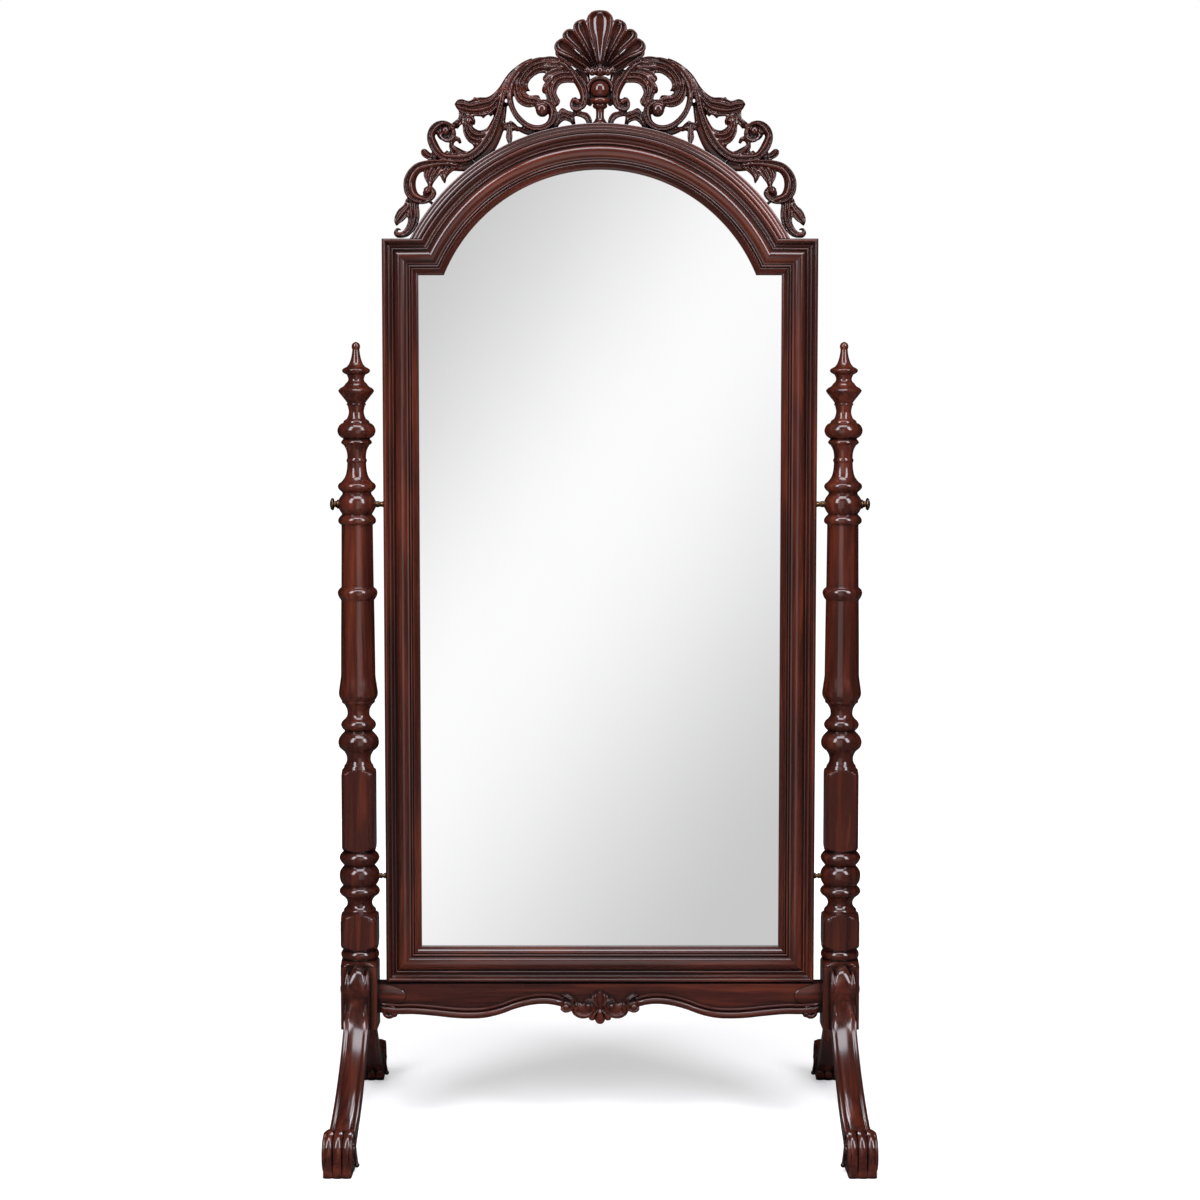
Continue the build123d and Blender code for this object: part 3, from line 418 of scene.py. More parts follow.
# Outline of the turning, (radius, height): every run is one bead, cove or ball. FREE leaves the square stock.
POST_RUNS = [
    [(FREE, 170), (FREE, 270), (42, 279), (35, 285.5), (31, 288), (29.6, 288.6)],
    [(29.6, 289.2), (32, 292), (32.8, 297.5), (31, 302), (28.6, 304.6)],
    [(28.6, 305.4), (29.6, 306), (34, 309.5), (39, 314), (43, 319), (FREE, 320)],
    [(FREE, 320), (FREE, 354)], [(FREE, 354), (42, 356), (38, 362), (33.5, 366.5), (29.4, 369),
        (28.2, 369.4)],
    [(28, 371.5), (27.7, 374), (26.5, 376)], [(25.6, 376.6), (22.3, 381), (21.4, 386), (22.6, 391),
        (26.3, 396)],
    [(27, 396.5), (32.6, 401), (34.8, 406), (33, 411), (29, 415)],
    [(28.7, 416.5), (33, 424), (34.5, 433), (33, 442), (27.5, 449.5)],
    [(26.2, 451), (31.6, 457.5), (34.4, 464.1), (32.5, 470), (28, 475)],
    [(26.6, 475.6), (26.6, 476.6), (28.4, 477.6), (33, 481), (37.5, 485.5), (40, 490), (FREE, 491)],
    [(FREE, 491), (FREE, 603)], [(FREE, 603), (40, 604), (36, 610.5), (31.5, 615.5), (27.6, 618),
        (26.2, 618.6)],
    [(25.6, 620.5), (24.8, 623.5), (23.8, 625.4)], [(22.8, 626), (20.8, 631), (20.3, 635.6), (21.4, 642),
        (24.8, 648)],
    [(25.2, 648.7), (32.2, 655), (34.8, 663.2), (32.4, 673), (24.2, 682.5)],
    [(23.2, 684), (27.8, 688.5), (29.9, 694.3), (27.8, 700), (23.2, 704.5)],
    [(22.2, 705.5), (19.4, 710), (18.8, 715), (20, 722), (24.2, 729.8)],
    [(25, 730), (28.2, 733), (28.4, 736)], [(29, 737), (32.2, 742.5), (33.3, 749), (32, 760), (29.8, 775)],
    [(29.4, 780), (28.8, 850), (28.1, 908)], [(28.4, 908.5), (32, 914), (33.9, 921.1), (32, 926.5),
        (28.2, 930)],
    [(27.6, 931), (27.1, 985), (26.7, 1036)], [(27, 1037), (31.2, 1040.3), (32.2, 1044.1), (31, 1048.5),
        (26.4, 1053.8)],
    [(25.3, 1055), (30.4, 1063.5), (32, PIVOT_Z), (30.4, 1081), (25.3, 1088.5)],
    [(24.7, 1089.5), (24.7, 1092)], [(25, 1092.4), (30.4, 1097.5), (32.3, 1102.3), (30.8, 1106.5),
        (27.4, 1109.3)],
    [(26.4, 1110), (21.6, 1116), (18.6, 1122.5), (16.7, 1132), (16, FINIAL_Z)],
]
FINIAL_RUNS = [
    [(16, FINIAL_Z), (17.4, 1146.4), (16, 1150.2)],
    [(15.8, 1150.6), (16.2, 1158), (18, 1165.5), (21.8, 1172.5)],
    [(22.4, 1172.8), (26.3, 1177), (22.8, 1182.6)], [(22.4, 1183.2), (29.6, 1188.8), (32.4, 1197.6),
        (29, 1206), (24.2, 1209.6)],
    [(22.4, 1210.2), (21.2, 1213.6), (17.2, 1216.6)], [(16.2, 1217.2), (13.6, 1223.5), (12.8, 1230.5),
        (14.8, 1239.4)],
    [(15.2, 1239.8), (16.6, 1241.7), (15.2, 1243.6)],
    [(15.4, 1244), (19, 1249), (23, 1254), (28.2, 1260.6)], [(28.6, 1261), (30.2, 1265), (26.4, 1269.6)],
    [(25, 1270), (21, 1272.6), (18.2, 1276.6)],
    [(17.6, 1277), (14.4, 1280.4), (13.3, 1285), (15.6, 1291.4)], [(16.4, 1292), (21.8, 1295),
        (23.8, 1298.9), (21.6, 1302), (16.8, 1304.6)],
    [(15.6, 1305.2), (11.6, 1310.5), (8.8, 1318), (7, 1326), (6.1, 1334)],
    [(6.1, 1334.4), (7.3, 1339.6), (5.4, 1344.6), (0.15, 1347.5)],
]
# Square parts of the post: from, to, half width, chamfer
SQUARES = [(160, 289, 31.5, 3.2), (305, 369.5, 31.1, 5.2), (475.5, 619, 28, 5)]


def turned_line(runs, steps):
    return [point for run in runs for point in (curve(run, steps) if len(run) > 2 else run)]


def corner_angles():
    """Directions round a post, with one on each edge of the chamfers."""
    quarter = [FLAT_ANGLE * (2 * k / FLAT_STEPS - 1) for k in range(FLAT_STEPS + 1)]
    quarter += [FLAT_ANGLE + (90 - 2 * FLAT_ANGLE) * k / 3 for k in (1, 2)]
    return [math.radians(a + 90 * q) for q in range(4) for a in quarter]


def stock_radius(angle, height):
    for low, high, half, chamfer in SQUARES:
        if low <= height <= high:
            across = abs(math.cos(angle))
            along = abs(math.sin(angle))
            return min(half / max(across, along), (2 * half - chamfer) / (across + along))
    return NO_STOCK


def turned_shape(runs, centre_x, squares=False, steps=4):
    angles = corner_angles() if squares else [2 * math.pi * k / TURNED_SIDES for k in range(TURNED_SIDES)]
    rings = []
    for radius, height in turned_line(runs, steps):
        ring = []
        for angle in angles:
            r = min(radius, stock_radius(angle, height)) if squares else radius
            ring.append((centre_x + r * math.cos(angle), r * math.sin(angle), height))
        rings.append(ring)
    return loft(rings)


def make_posts(wood):
    post = turned_shape(POST_RUNS, -POST_X, True)
    pair("turned_post", post, wood, "stand", "post", 26)
    finial = turned_shape(FINIAL_RUNS, -POST_X)
    pair("turned_finial", finial, wood, "stand", "finial", 26)


# Scroll-foot legs

LEG_TOP = [
    (29, 284), (45, 278), (56, 262), (58.5, 245), (54.5, 226), (58, 207), (72, 184), (98, 156), (134, 125),
    (176, 97), (222, 74), (262, 60),
]
LEG_UNDER = [
    (29, 168), (52, 160), (80, 143), (112, 114), (150, 83), (190, 57), (228, 37), (256, 22), (272, 16),
]
LEG_STATIONS = 64
FOOT_OUTLINE = [
    (268, 0), (296, 0), (325, 0), (325, 12), (325, 36), (321.5, 52), (311, 65), (297, 71.5), (282, 70.5),
    (269, 62), (262.5, 50), (263, 38), (261, 26), (258.5, 15), (262, 5),
]
LEG_SPLAY = math.radians(1.5)
LEG_HALF = 20.5
LEG_SWELL = 1.2
FOOT_HALF = 22.6
FOOT_MIDDLE = (292.0, 34.0)
FOOT_FRONT = 325.0
# Half the depth of the stand, at its toes
FOOT_REACH = 325.3
# Coil on each side of the foot: centre, distance from the middle of the leg, points
COIL_CENTRE = (291.5, 38.0)
COIL_X = 22.0
COIL_POINTS = 64
# Small turned spur beside the front lobe
SPUR_LINE = [(21.5, 274, 50), (24.5, 280, 32), (27, 283, 14)]
SPUR_RADII = [3.0, 2.2, 2.4]
SPUR_BALL = (27.2, 283.0, 10.5)


def even_line(points, count):
    """The smooth line through points, cut into equal lengths."""
    line = curve(points, 10)
    lengths = [0.0]
    for a, b in zip(line, line[1:]):
        lengths.append(lengths[-1] + math.dist(a, b))
    found = []
    place = 0
    for k in range(count):
        goal = lengths[-1] * k / (count - 1)
        while place < len(line) - 2 and lengths[place + 1] < goal:
            place += 1
        part = (goal - lengths[place]) / max(lengths[place + 1] - lengths[place], 1e-9)
        found.append(tuple(a + (b - a) * part for a, b in zip(line[place], line[place + 1])))
    return found


def reed_depth(across):
    """How far a broad reed and the beads beside it fall below its crest; across runs from -1 to 1."""
    a = abs(across)
    if a < 0.60:
        return 7.0 * (1 - math.sqrt(1 - (a / 0.64) ** 2))
    if a < 0.68:
        return 6.2
    return 3.0 + 3.4 * (1 - math.sqrt(max(1 - ((a - 0.84) / 0.165) ** 2, 0.0)))


def lobe_depth(across):
    """The same for the three equal lobes of the foot."""
    a = abs(across)
    middle = 0.0 if a < 0.335 else 0.67
    return (0.0 if a < 0.335 else 0.9) + 5.6 * (1 - math.sqrt(max(1 - ((a - middle) / 0.345) ** 2, 0.0)))


REED_PLACES = [
    -1.0, -0.985, -0.94, -0.88, -0.82, -0.76, -0.71, -0.68, -0.64, -0.605, -0.595, -0.56, -0.50, -0.40,
    -0.27, -0.13,
]
LOBE_PLACES = [
    -1.0, -0.99, -0.95, -0.88, -0.78, -0.67, -0.56, -0.46, -0.40, -0.36, -0.335, -0.31, -0.27, -0.20, -0.10,
]
LOBE_PLACES += [0.0] + [-place for place in LOBE_PLACES[::-1]]
REED_PLACES += [0.0] + [-place for place in REED_PLACES[::-1]]


def splayed(points, sign):
    """Leg points (x across, y outwards, z) turned out and moved to the left post; sign is -1 in front."""
    turned = []
    for x, y, z in points:
        turned.append((-POST_X + x * math.cos(LEG_SPLAY) - y * math.sin(LEG_SPLAY),
                       sign * (x * math.sin(LEG_SPLAY) + y * math.cos(LEG_SPLAY)), z))
    return turned


def leg_shape(sign):
    top = even_line(LEG_TOP, LEG_STATIONS)
    under = even_line(LEG_UNDER, LEG_STATIONS)
    rings = []
    for k in range(LEG_STATIONS):
        (ty, tz), (uy, uz) = top[k], under[k]
        length = math.hypot(ty - uy, tz - uz)
        dy, dz = (ty - uy) / length, (tz - uz) / length
        half = LEG_HALF + LEG_SWELL * k / LEG_STATIONS
        arched = 1.0 + 2.0 * max(0.0, 1.0 - k / 4.0)
        section = [(a * half, length - arched * reed_depth(a)) for a in REED_PLACES]
        section += [(half, 0.55 * length), (half, 4.0), (half - 1.0, 1.2), (half - 3.5, 0.0), (0.0, -0.6),
                    (3.5 - half, 0.0), (1.0 - half, 1.2), (-half, 4.0), (-half, 0.55 * length)]
        rings.append([(x, uy + dy * t, uz + dz * t) for x, t in section])
    leg = loft(rings)

    loops = []
    outline = curve(FOOT_OUTLINE + FOOT_OUTLINE[:1], 5)[:-1]
    middle_y, middle_z = FOOT_MIDDLE
    for a in LOBE_PLACES:
        loop = []
        for y, z in outline:
            gap = math.dist((y, z), FOOT_MIDDLE)
            lift = 0.25 + 0.75 * min(max((z - 3.0) / 9.0, 0.0), 1.0)
            scale = 1.0 - lift * lobe_depth(a) / gap
            front = min(y, FOOT_FRONT)
            loop.append((a * FOOT_HALF, middle_y + (front - middle_y) * scale,
                         max(middle_z + (z - middle_z) * scale, 0.0)))
        loops.append(loop)
    foot = loft(loops)

    volutes = []
    last = COIL_POINTS - 1
    centre_y, centre_z = COIL_CENTRE
    for side in (-1, 1):
        spiral = []
        for k in range(COIL_POINTS):
            t = k / last
            angle = math.radians(-62 + 610 * t)
            radius = 30.0 * (1 - t) ** 0.85 + 4.0
            spiral.append((side * COIL_X,
                           centre_y + radius * math.cos(angle), centre_z + radius * math.sin(angle)))
        volutes.append(rod(spiral, [3.0 - 0.9 * k / last for k in range(COIL_POINTS)], 10))
        volutes.append(ball((side * COIL_X, centre_y, centre_z), 5.6, 14, 10))
    spur = [rod(SPUR_LINE, SPUR_RADII, 12), ball(SPUR_BALL, 4.2, 18, 12)]
    vertices, faces = gather([leg, foot] + volutes + spur)
    return [(x, max(-FOOT_REACH, min(FOOT_REACH, y)), z) for x, y, z in splayed(vertices, sign)], faces


def rod(line, radii, sides=12):
    """A round rod along a line of points, with closed ends."""
    rings = []
    last_normal = None
    for k, point in enumerate(line):
        ahead = Vector(line[min(k + 1, len(line) - 1)]) - Vector(line[max(k - 1, 0)])
        ahead.normalize()
        if last_normal is None:
            last_normal = ahead.orthogonal().normalized()
        normal = (last_normal - ahead * last_normal.dot(ahead)).normalized()
        last_normal = normal
        other = ahead.cross(normal)
        ring = []
        for c, s in circle(sides):
            ring.append(tuple(Vector(point) + (normal * c + other * s) * radii[k]))
        rings.append(ring)
    return loft(rings)


def ball(centre, radius, sides=24, levels=16, squash=(1, 1, 1)):
    x, y, z = centre
    wide, deep, high = squash
    rings = []
    for k in range(levels + 1):
        tilt = math.pi * (0.01 + 0.98 * k / levels)
        out, up = radius * math.sin(tilt), radius * math.cos(tilt)
        rings.append([(x + wide * out * c, y + deep * out * s, z + high * up) for c, s in circle(sides)])
    return loft(rings)


def make_legs(wood):
    for sign, word in ((-1, "front"), (1, "rear")):
        pair(f"carved_leg_{word}", leg_shape(sign), wood, "stand", f"leg_{word}", 40)


# Frame mouldings

# The moulding's face, (distance out from the sight line, depth), then its back with the rebate for the glass
MOULDING_RUNS = [
    [(8.0, -3.0), (0.0, -3.0)], [(0.0, -3.0), (0.0, -6.6)], [(0.0, -6.6), (1.2, -7.6), (4.5, -9.1),
        (7.6, -11.6), (9.5, -14.0)],
    [(9.5, -14.2), (10.6, -14.6), (11.4, -14.0)], [(11.4, -12.2), (12.0, -12.2)], [(12.0, -12.6),
        (12.9, -14.9), (14.5, -15.8), (16.1, -14.9), (17.0, -12.6)],
    [(17.0, -12.2), (18.0, -12.2)], [(18.0, -14.6), (20.4, -15.0)], [(20.5, -15.2), (24.0, -17.6),
        (29.0, -19.1), (34.0, -18.4), (38.0, -16.0), (39.6, -14.2)],
    [(39.6, -13.2), (41.2, -13.2)], [(41.2, -13.6), (42.0, -15.4), (43.3, -16.2), (44.6, -15.4),
        (45.2, -14.2)],
    [(45.4, -13.4), (46.6, -13.4)], [(46.6, -14.0), (48.5, -12.8), (51.0, -13.4), (53.0, -16.4)],
    [(53.2, -17.2), (54.0, -17.2)], [(54.0, -17.4), (55.4, -19.2), (57.4, -19.8), (59.4, -18.8),
        (60.6, -16.6), (FRAME_WIDTH, -14.4)],
    [(FRAME_WIDTH, 19.0), (60.0, FRAME_BACK)], [(18.0, FRAME_BACK), (18.0, 13.0)],
    [(8.0, 13.0), (8.0, -3.0)],
]


def mitre_x(out):
    """Where the shoulder's moulding meets the arch's, for each distance out from the sight line."""
    return math.sqrt((ARCH_R + out) ** 2 - (SIGHT_SHOULDER + out - ARCH_Z) ** 2)


ARCH_STEPS = 56
SHOULDER_Z = SIGHT_SHOULDER + FRAME_WIDTH
CAP_WIDTH = 16.0
# Three reeds of the cap: how far apart, how wide, how high
REED_PITCH = 5.25
REED_WIDTH = 5.1
REED_RISE = 0.8


def bent_along(section, inner_radius, sweep, shares):
    """A moulding bent round the arch: sweep gives its whole angle, shares the part of it at each ring."""
    rings = []
    for share in shares:
        ring = []
        for out, y in section:
            angle = share * sweep(inner_radius + out, out)
            radius = inner_radius + out
            ring.append((radius * math.sin(angle), y, ARCH_Z + radius * math.cos(angle)))
        rings.append(ring)
    return loft(rings)


def make_frame(upright, level, bent):
    section = turned_line(MOULDING_RUNS, 4)
    rise = SIGHT_SHOULDER - SIGHT_BOTTOM
    stile = loft([
        [(-SIGHT_X - u, y, SIGHT_BOTTOM - u + (rise + 2 * u) * t) for u, y in section]
        for t in (0.0, 0.25, 0.5, 0.75, 1.0)])
    pair("moulded_stile", stile, upright, "mirror", "frame_stile", 24)
    shoulder = loft([
        [(-SIGHT_X - u + (SIGHT_X + u - mitre_x(u)) * t, y, SIGHT_SHOULDER + u) for u, y in section]
        for t in (0.0, 1.0)])
    pair("moulded_shoulder", shoulder, level, "mirror", "frame_shoulder", 24)
    arch = bent_along(section, ARCH_R, lambda radius, out: math.asin(-mitre_x(out) / radius),
                      [k / ARCH_STEPS for k in range(ARCH_STEPS + 1)])
    pair("moulded_arch", arch, bent, "mirror", "frame_arch", 24)
    rail = loft([
        [((SIGHT_X + u) * t, y, SIGHT_BOTTOM - u) for u, y in section] for t in (-1.0, -0.5, 0.0, 0.5, 1.0)])
    fit(build("moulded_bottom_rail", *rail, level, 24), "mirror", "frame_bottom_rail")

    reeds = [(0.15 + REED_PITCH * k + REED_WIDTH * t / 8, -16.8 - REED_RISE * math.sin(math.pi * t / 8))
             for k in range(3) for t in range(9)]
    cap_section = [(0.0, 16.0), (0.0, -15.6)] + reeds + [(16.0, -15.6), (16.0, 15.0), (15.0, 16.0)]
    cap = bent_along(cap_section, CAP_R - CAP_WIDTH,
                     lambda radius, out: math.acos((SHOULDER_Z - ARCH_Z) / radius),
                     [k / ARCH_STEPS - 1 for k in range(2 * ARCH_STEPS + 1)])
    fit(build("reeded_cap", *cap, bent, 30), "mirror", "arch_cap")


# Stretcher rail and apron carving

CREST_BACK = 4.0

APRON = [
    (-376, 196), (-350, 194), (-318, 194), (-283, 191), (-250, 187.5), (-222, 186.5), (-198, 188),
    (-172, 194), (-146, 203.5), (-120, 210), (-98, 212), (-80, 210.5), (-62, 206),
]


def relief(line, sections, base=0.0):
    """Carving along a line of (x, z, half width, height); sections are (across, share of height)."""
    rings = []
    count = len(line)
    for k, (x, z, half, height) in enumerate(line):
        x0, z0 = line[max(k - 1, 0)][:2]
        x1, z1 = line[min(k + 1, count - 1)][:2]
        length = math.hypot(x1 - x0, z1 - z0) or 1.0
        nx, nz = -(z1 - z0) / length, (x1 - x0) / length
        ring = [(x + nx * a * half, base - s * height, z + nz * a * half) for a, s in sections]
        rings.append(ring)
    return loft(rings)


def mirrored_section(half):
    return [(-a, s) for a, s in half] + [(a, s) for a, s in half[::-1] if a]


# Cross sections from the edge to the middle: (across, share of height)
ROUND = mirrored_section([
    (1.0, 0.0), (1.0, 0.30), (0.94, 0.55), (0.78, 0.79), (0.52, 0.94), (0.26, 0.99), (0.0, 1.0),
])
# A bead on the outer edge, a groove beside it and a round body
SCROLL_SECTION = [
    (-1.0, 0.0), (-1.0, 0.62), (-0.97, 0.80), (-0.88, 0.94), (-0.76, 1.0), (-0.64, 0.95), (-0.54, 0.78),
    (-0.47, 0.58), (-0.38, 0.60), (-0.24, 0.76), (0.0, 0.88), (0.26, 0.91), (0.50, 0.84), (0.72, 0.68),
    (0.90, 0.46), (1.0, 0.28), (1.0, 0.0),
]
# Raised edges and a hollow between them
LOBE_SECTION = mirrored_section([
    (1.0, 0.0), (1.0, 0.80), (0.96, 0.94), (0.90, 1.0), (0.82, 0.96), (0.72, 0.82), (0.55, 0.66),
    (0.30, 0.56), (0.0, 0.53),
])


def ribbon(height, pairs, section, steps=5, base=CREST_BACK):
    """Carving between an outer and an inner edge, lower at both ends."""
    line = curve(pairs, steps)
    rings = []
    for k, (x, z, inner_x, inner_z) in enumerate(line):
        rise = height * min(1.0, 0.58 + 0.14 * k, 0.50 + 0.14 * (len(line) - 1 - k))
        rings.append([(x + (inner_x - x) * (a + 1) / 2, base - s * rise, z + (inner_z - z) * (a + 1) / 2)
                      for a, s in section])
    return loft(rings)


def disc(x, z, radius, height, base):
    """Low round ground for a curl."""
    turns = [math.pi * k / 12 for k in range(13)]
    line = [(x - radius * math.cos(a), z, max(radius * math.sin(a), 0.2), height) for a in turns]
    return relief(line, ROUND, base)


def stroke(points, widths, heights, steps=4):
    """A smooth line of (x, z, half width, height) with rounded ends."""
    line = curve([(x, z, w, h) for (x, z), w, h in zip(points, widths, heights)], steps)
    (x, z, w, h), (px, pz, _, _) = line[-1], line[-2]
    length = math.hypot(x - px, z - pz) or 1.0
    dx, dz = (x - px) / length, (z - pz) / length
    ends = []
    for angle in (25, 48, 68, 84):
        a = math.radians(angle)
        ends.append((x + dx * w * math.sin(a), z + dz * w * math.sin(a), max(w * math.cos(a), 0.25),
                     h * (0.6 + 0.4 * math.cos(a))))
    return line + ends


def volute(cx, cz, size, turns, start, way, base, height):
    """A coiled carved ribbon with a button in its eye."""
    points = []
    count = int(10 * turns) + 2
    for k in range(count):
        t = k / (count - 1)
        angle = math.radians(start + way * 360 * turns * t)
        radius = size * (1 - 0.62 * t)
        points.append((cx + radius * math.cos(angle), cz + radius * math.sin(angle)))
    widths = [size * (0.40 - 0.14 * k / (count - 1)) for k in range(count)]
    heights = [height * (0.8 + 0.2 * k / (count - 1)) for k in range(count)]
    coil = relief(stroke(points, widths, heights, 4), ROUND, base)
    pad = relief([(cx - size, cz, 0.3 * size, height * 0.3), (cx, cz, size, height * 0.35),
                  (cx + size, cz, 0.3 * size, height * 0.3)], ROUND, base)
    return gather([coil, pad, ball((cx, base - height * 0.55, cz), size * 0.30, 16, 10)])


# Crest

# Ribbons of the left wing: how far they stand off the flat back, then pairs of points across them (one on the
# outer edge, one on the inner edge), x and z in millimetres
SCROLLS = [
    # The large scroll
    (20, [(-92, 1823, -92, 1818), (-110, 1820, -108, 1814), (-127, 1811, -123, 1804),
        (-140, 1798, -134, 1792), (-150, 1783, -142, 1779), (-156, 1766, -146, 1765),
        (-156, 1750, -146, 1752), (-151, 1735, -142, 1738), (-142, 1720, -134, 1726),
        (-129, 1708, -123, 1716), (-114, 1701, -111, 1711), (-99, 1700, -100, 1711), (-85, 1705, -91, 1715),
        (-75, 1716, -87, 1722), (-72, 1730, -86, 1731), (-76, 1742, -87, 1738), (-86, 1750, -91, 1742),
        (-97, 1752, -97, 1745), (-106, 1747, -102, 1742), (-110, 1738, -104, 1737)]),
    # The scroll beside the shell
    (20, [(-76, 1824, -79, 1814), (-60, 1817, -64, 1806), (-47, 1806, -53, 1797), (-36, 1793, -45, 1783),
        (-26, 1778, -38, 1771), (-21, 1763, -34, 1761), (-21, 1751, -33, 1752), (-25, 1740, -34, 1746),
        (-33, 1735, -37, 1742), (-42, 1733, -42, 1741), (-49, 1738, -44, 1743), (-51, 1746, -44, 1747),
        (-47, 1754, -41, 1749), (-40, 1757, -38, 1750)]),
    # The long S that runs from the top down to the outer curl
    (20, [(-113, 1818, -115, 1822), (-130, 1809, -133, 1813), (-142, 1797, -147, 1802),
        (-151, 1783, -157, 1787), (-157, 1766, -165, 1771), (-161, 1748, -172, 1750),
        (-165, 1730, -176, 1733), (-171, 1710, -185, 1714), (-178, 1690, -196, 1697),
        (-188, 1674, -204, 1684), (-201, 1661, -212, 1674), (-216, 1651, -222, 1667),
        (-232, 1647, -234, 1664), (-250, 1648, -248, 1663), (-267, 1652, -260, 1663),
        (-281, 1663, -268, 1671), (-289, 1678, -274, 1682), (-291, 1692, -278, 1692),
        (-286, 1706, -273, 1700), (-275, 1715, -267, 1706), (-262, 1717, -260, 1709),
        (-250, 1712, -254, 1705), (-243, 1701, -251, 1698), (-244, 1689, -253, 1691),
        (-253, 1682, -258, 1688), (-263, 1683, -263, 1690), (-270, 1691, -265, 1694),
        (-271, 1699, -265, 1699)]),
    # The lower scroll
    (20, [(-236, 1648, -236, 1640), (-262, 1651, -262, 1641), (-280, 1652, -278, 1638),
        (-297, 1650, -294, 1634), (-311, 1645, -303, 1631), (-323, 1634, -309, 1623),
        (-330, 1620, -311, 1613), (-331, 1606, -310, 1604), (-328, 1594, -307, 1597),
        (-319, 1584, -303, 1594), (-305, 1579, -298, 1592), (-292, 1580, -292, 1589),
        (-281, 1587, -288, 1593), (-276, 1597, -286, 1598), (-281, 1606, -288, 1601),
        (-290, 1608, -291, 1602), (-298, 1604, -293, 1600)]),
]
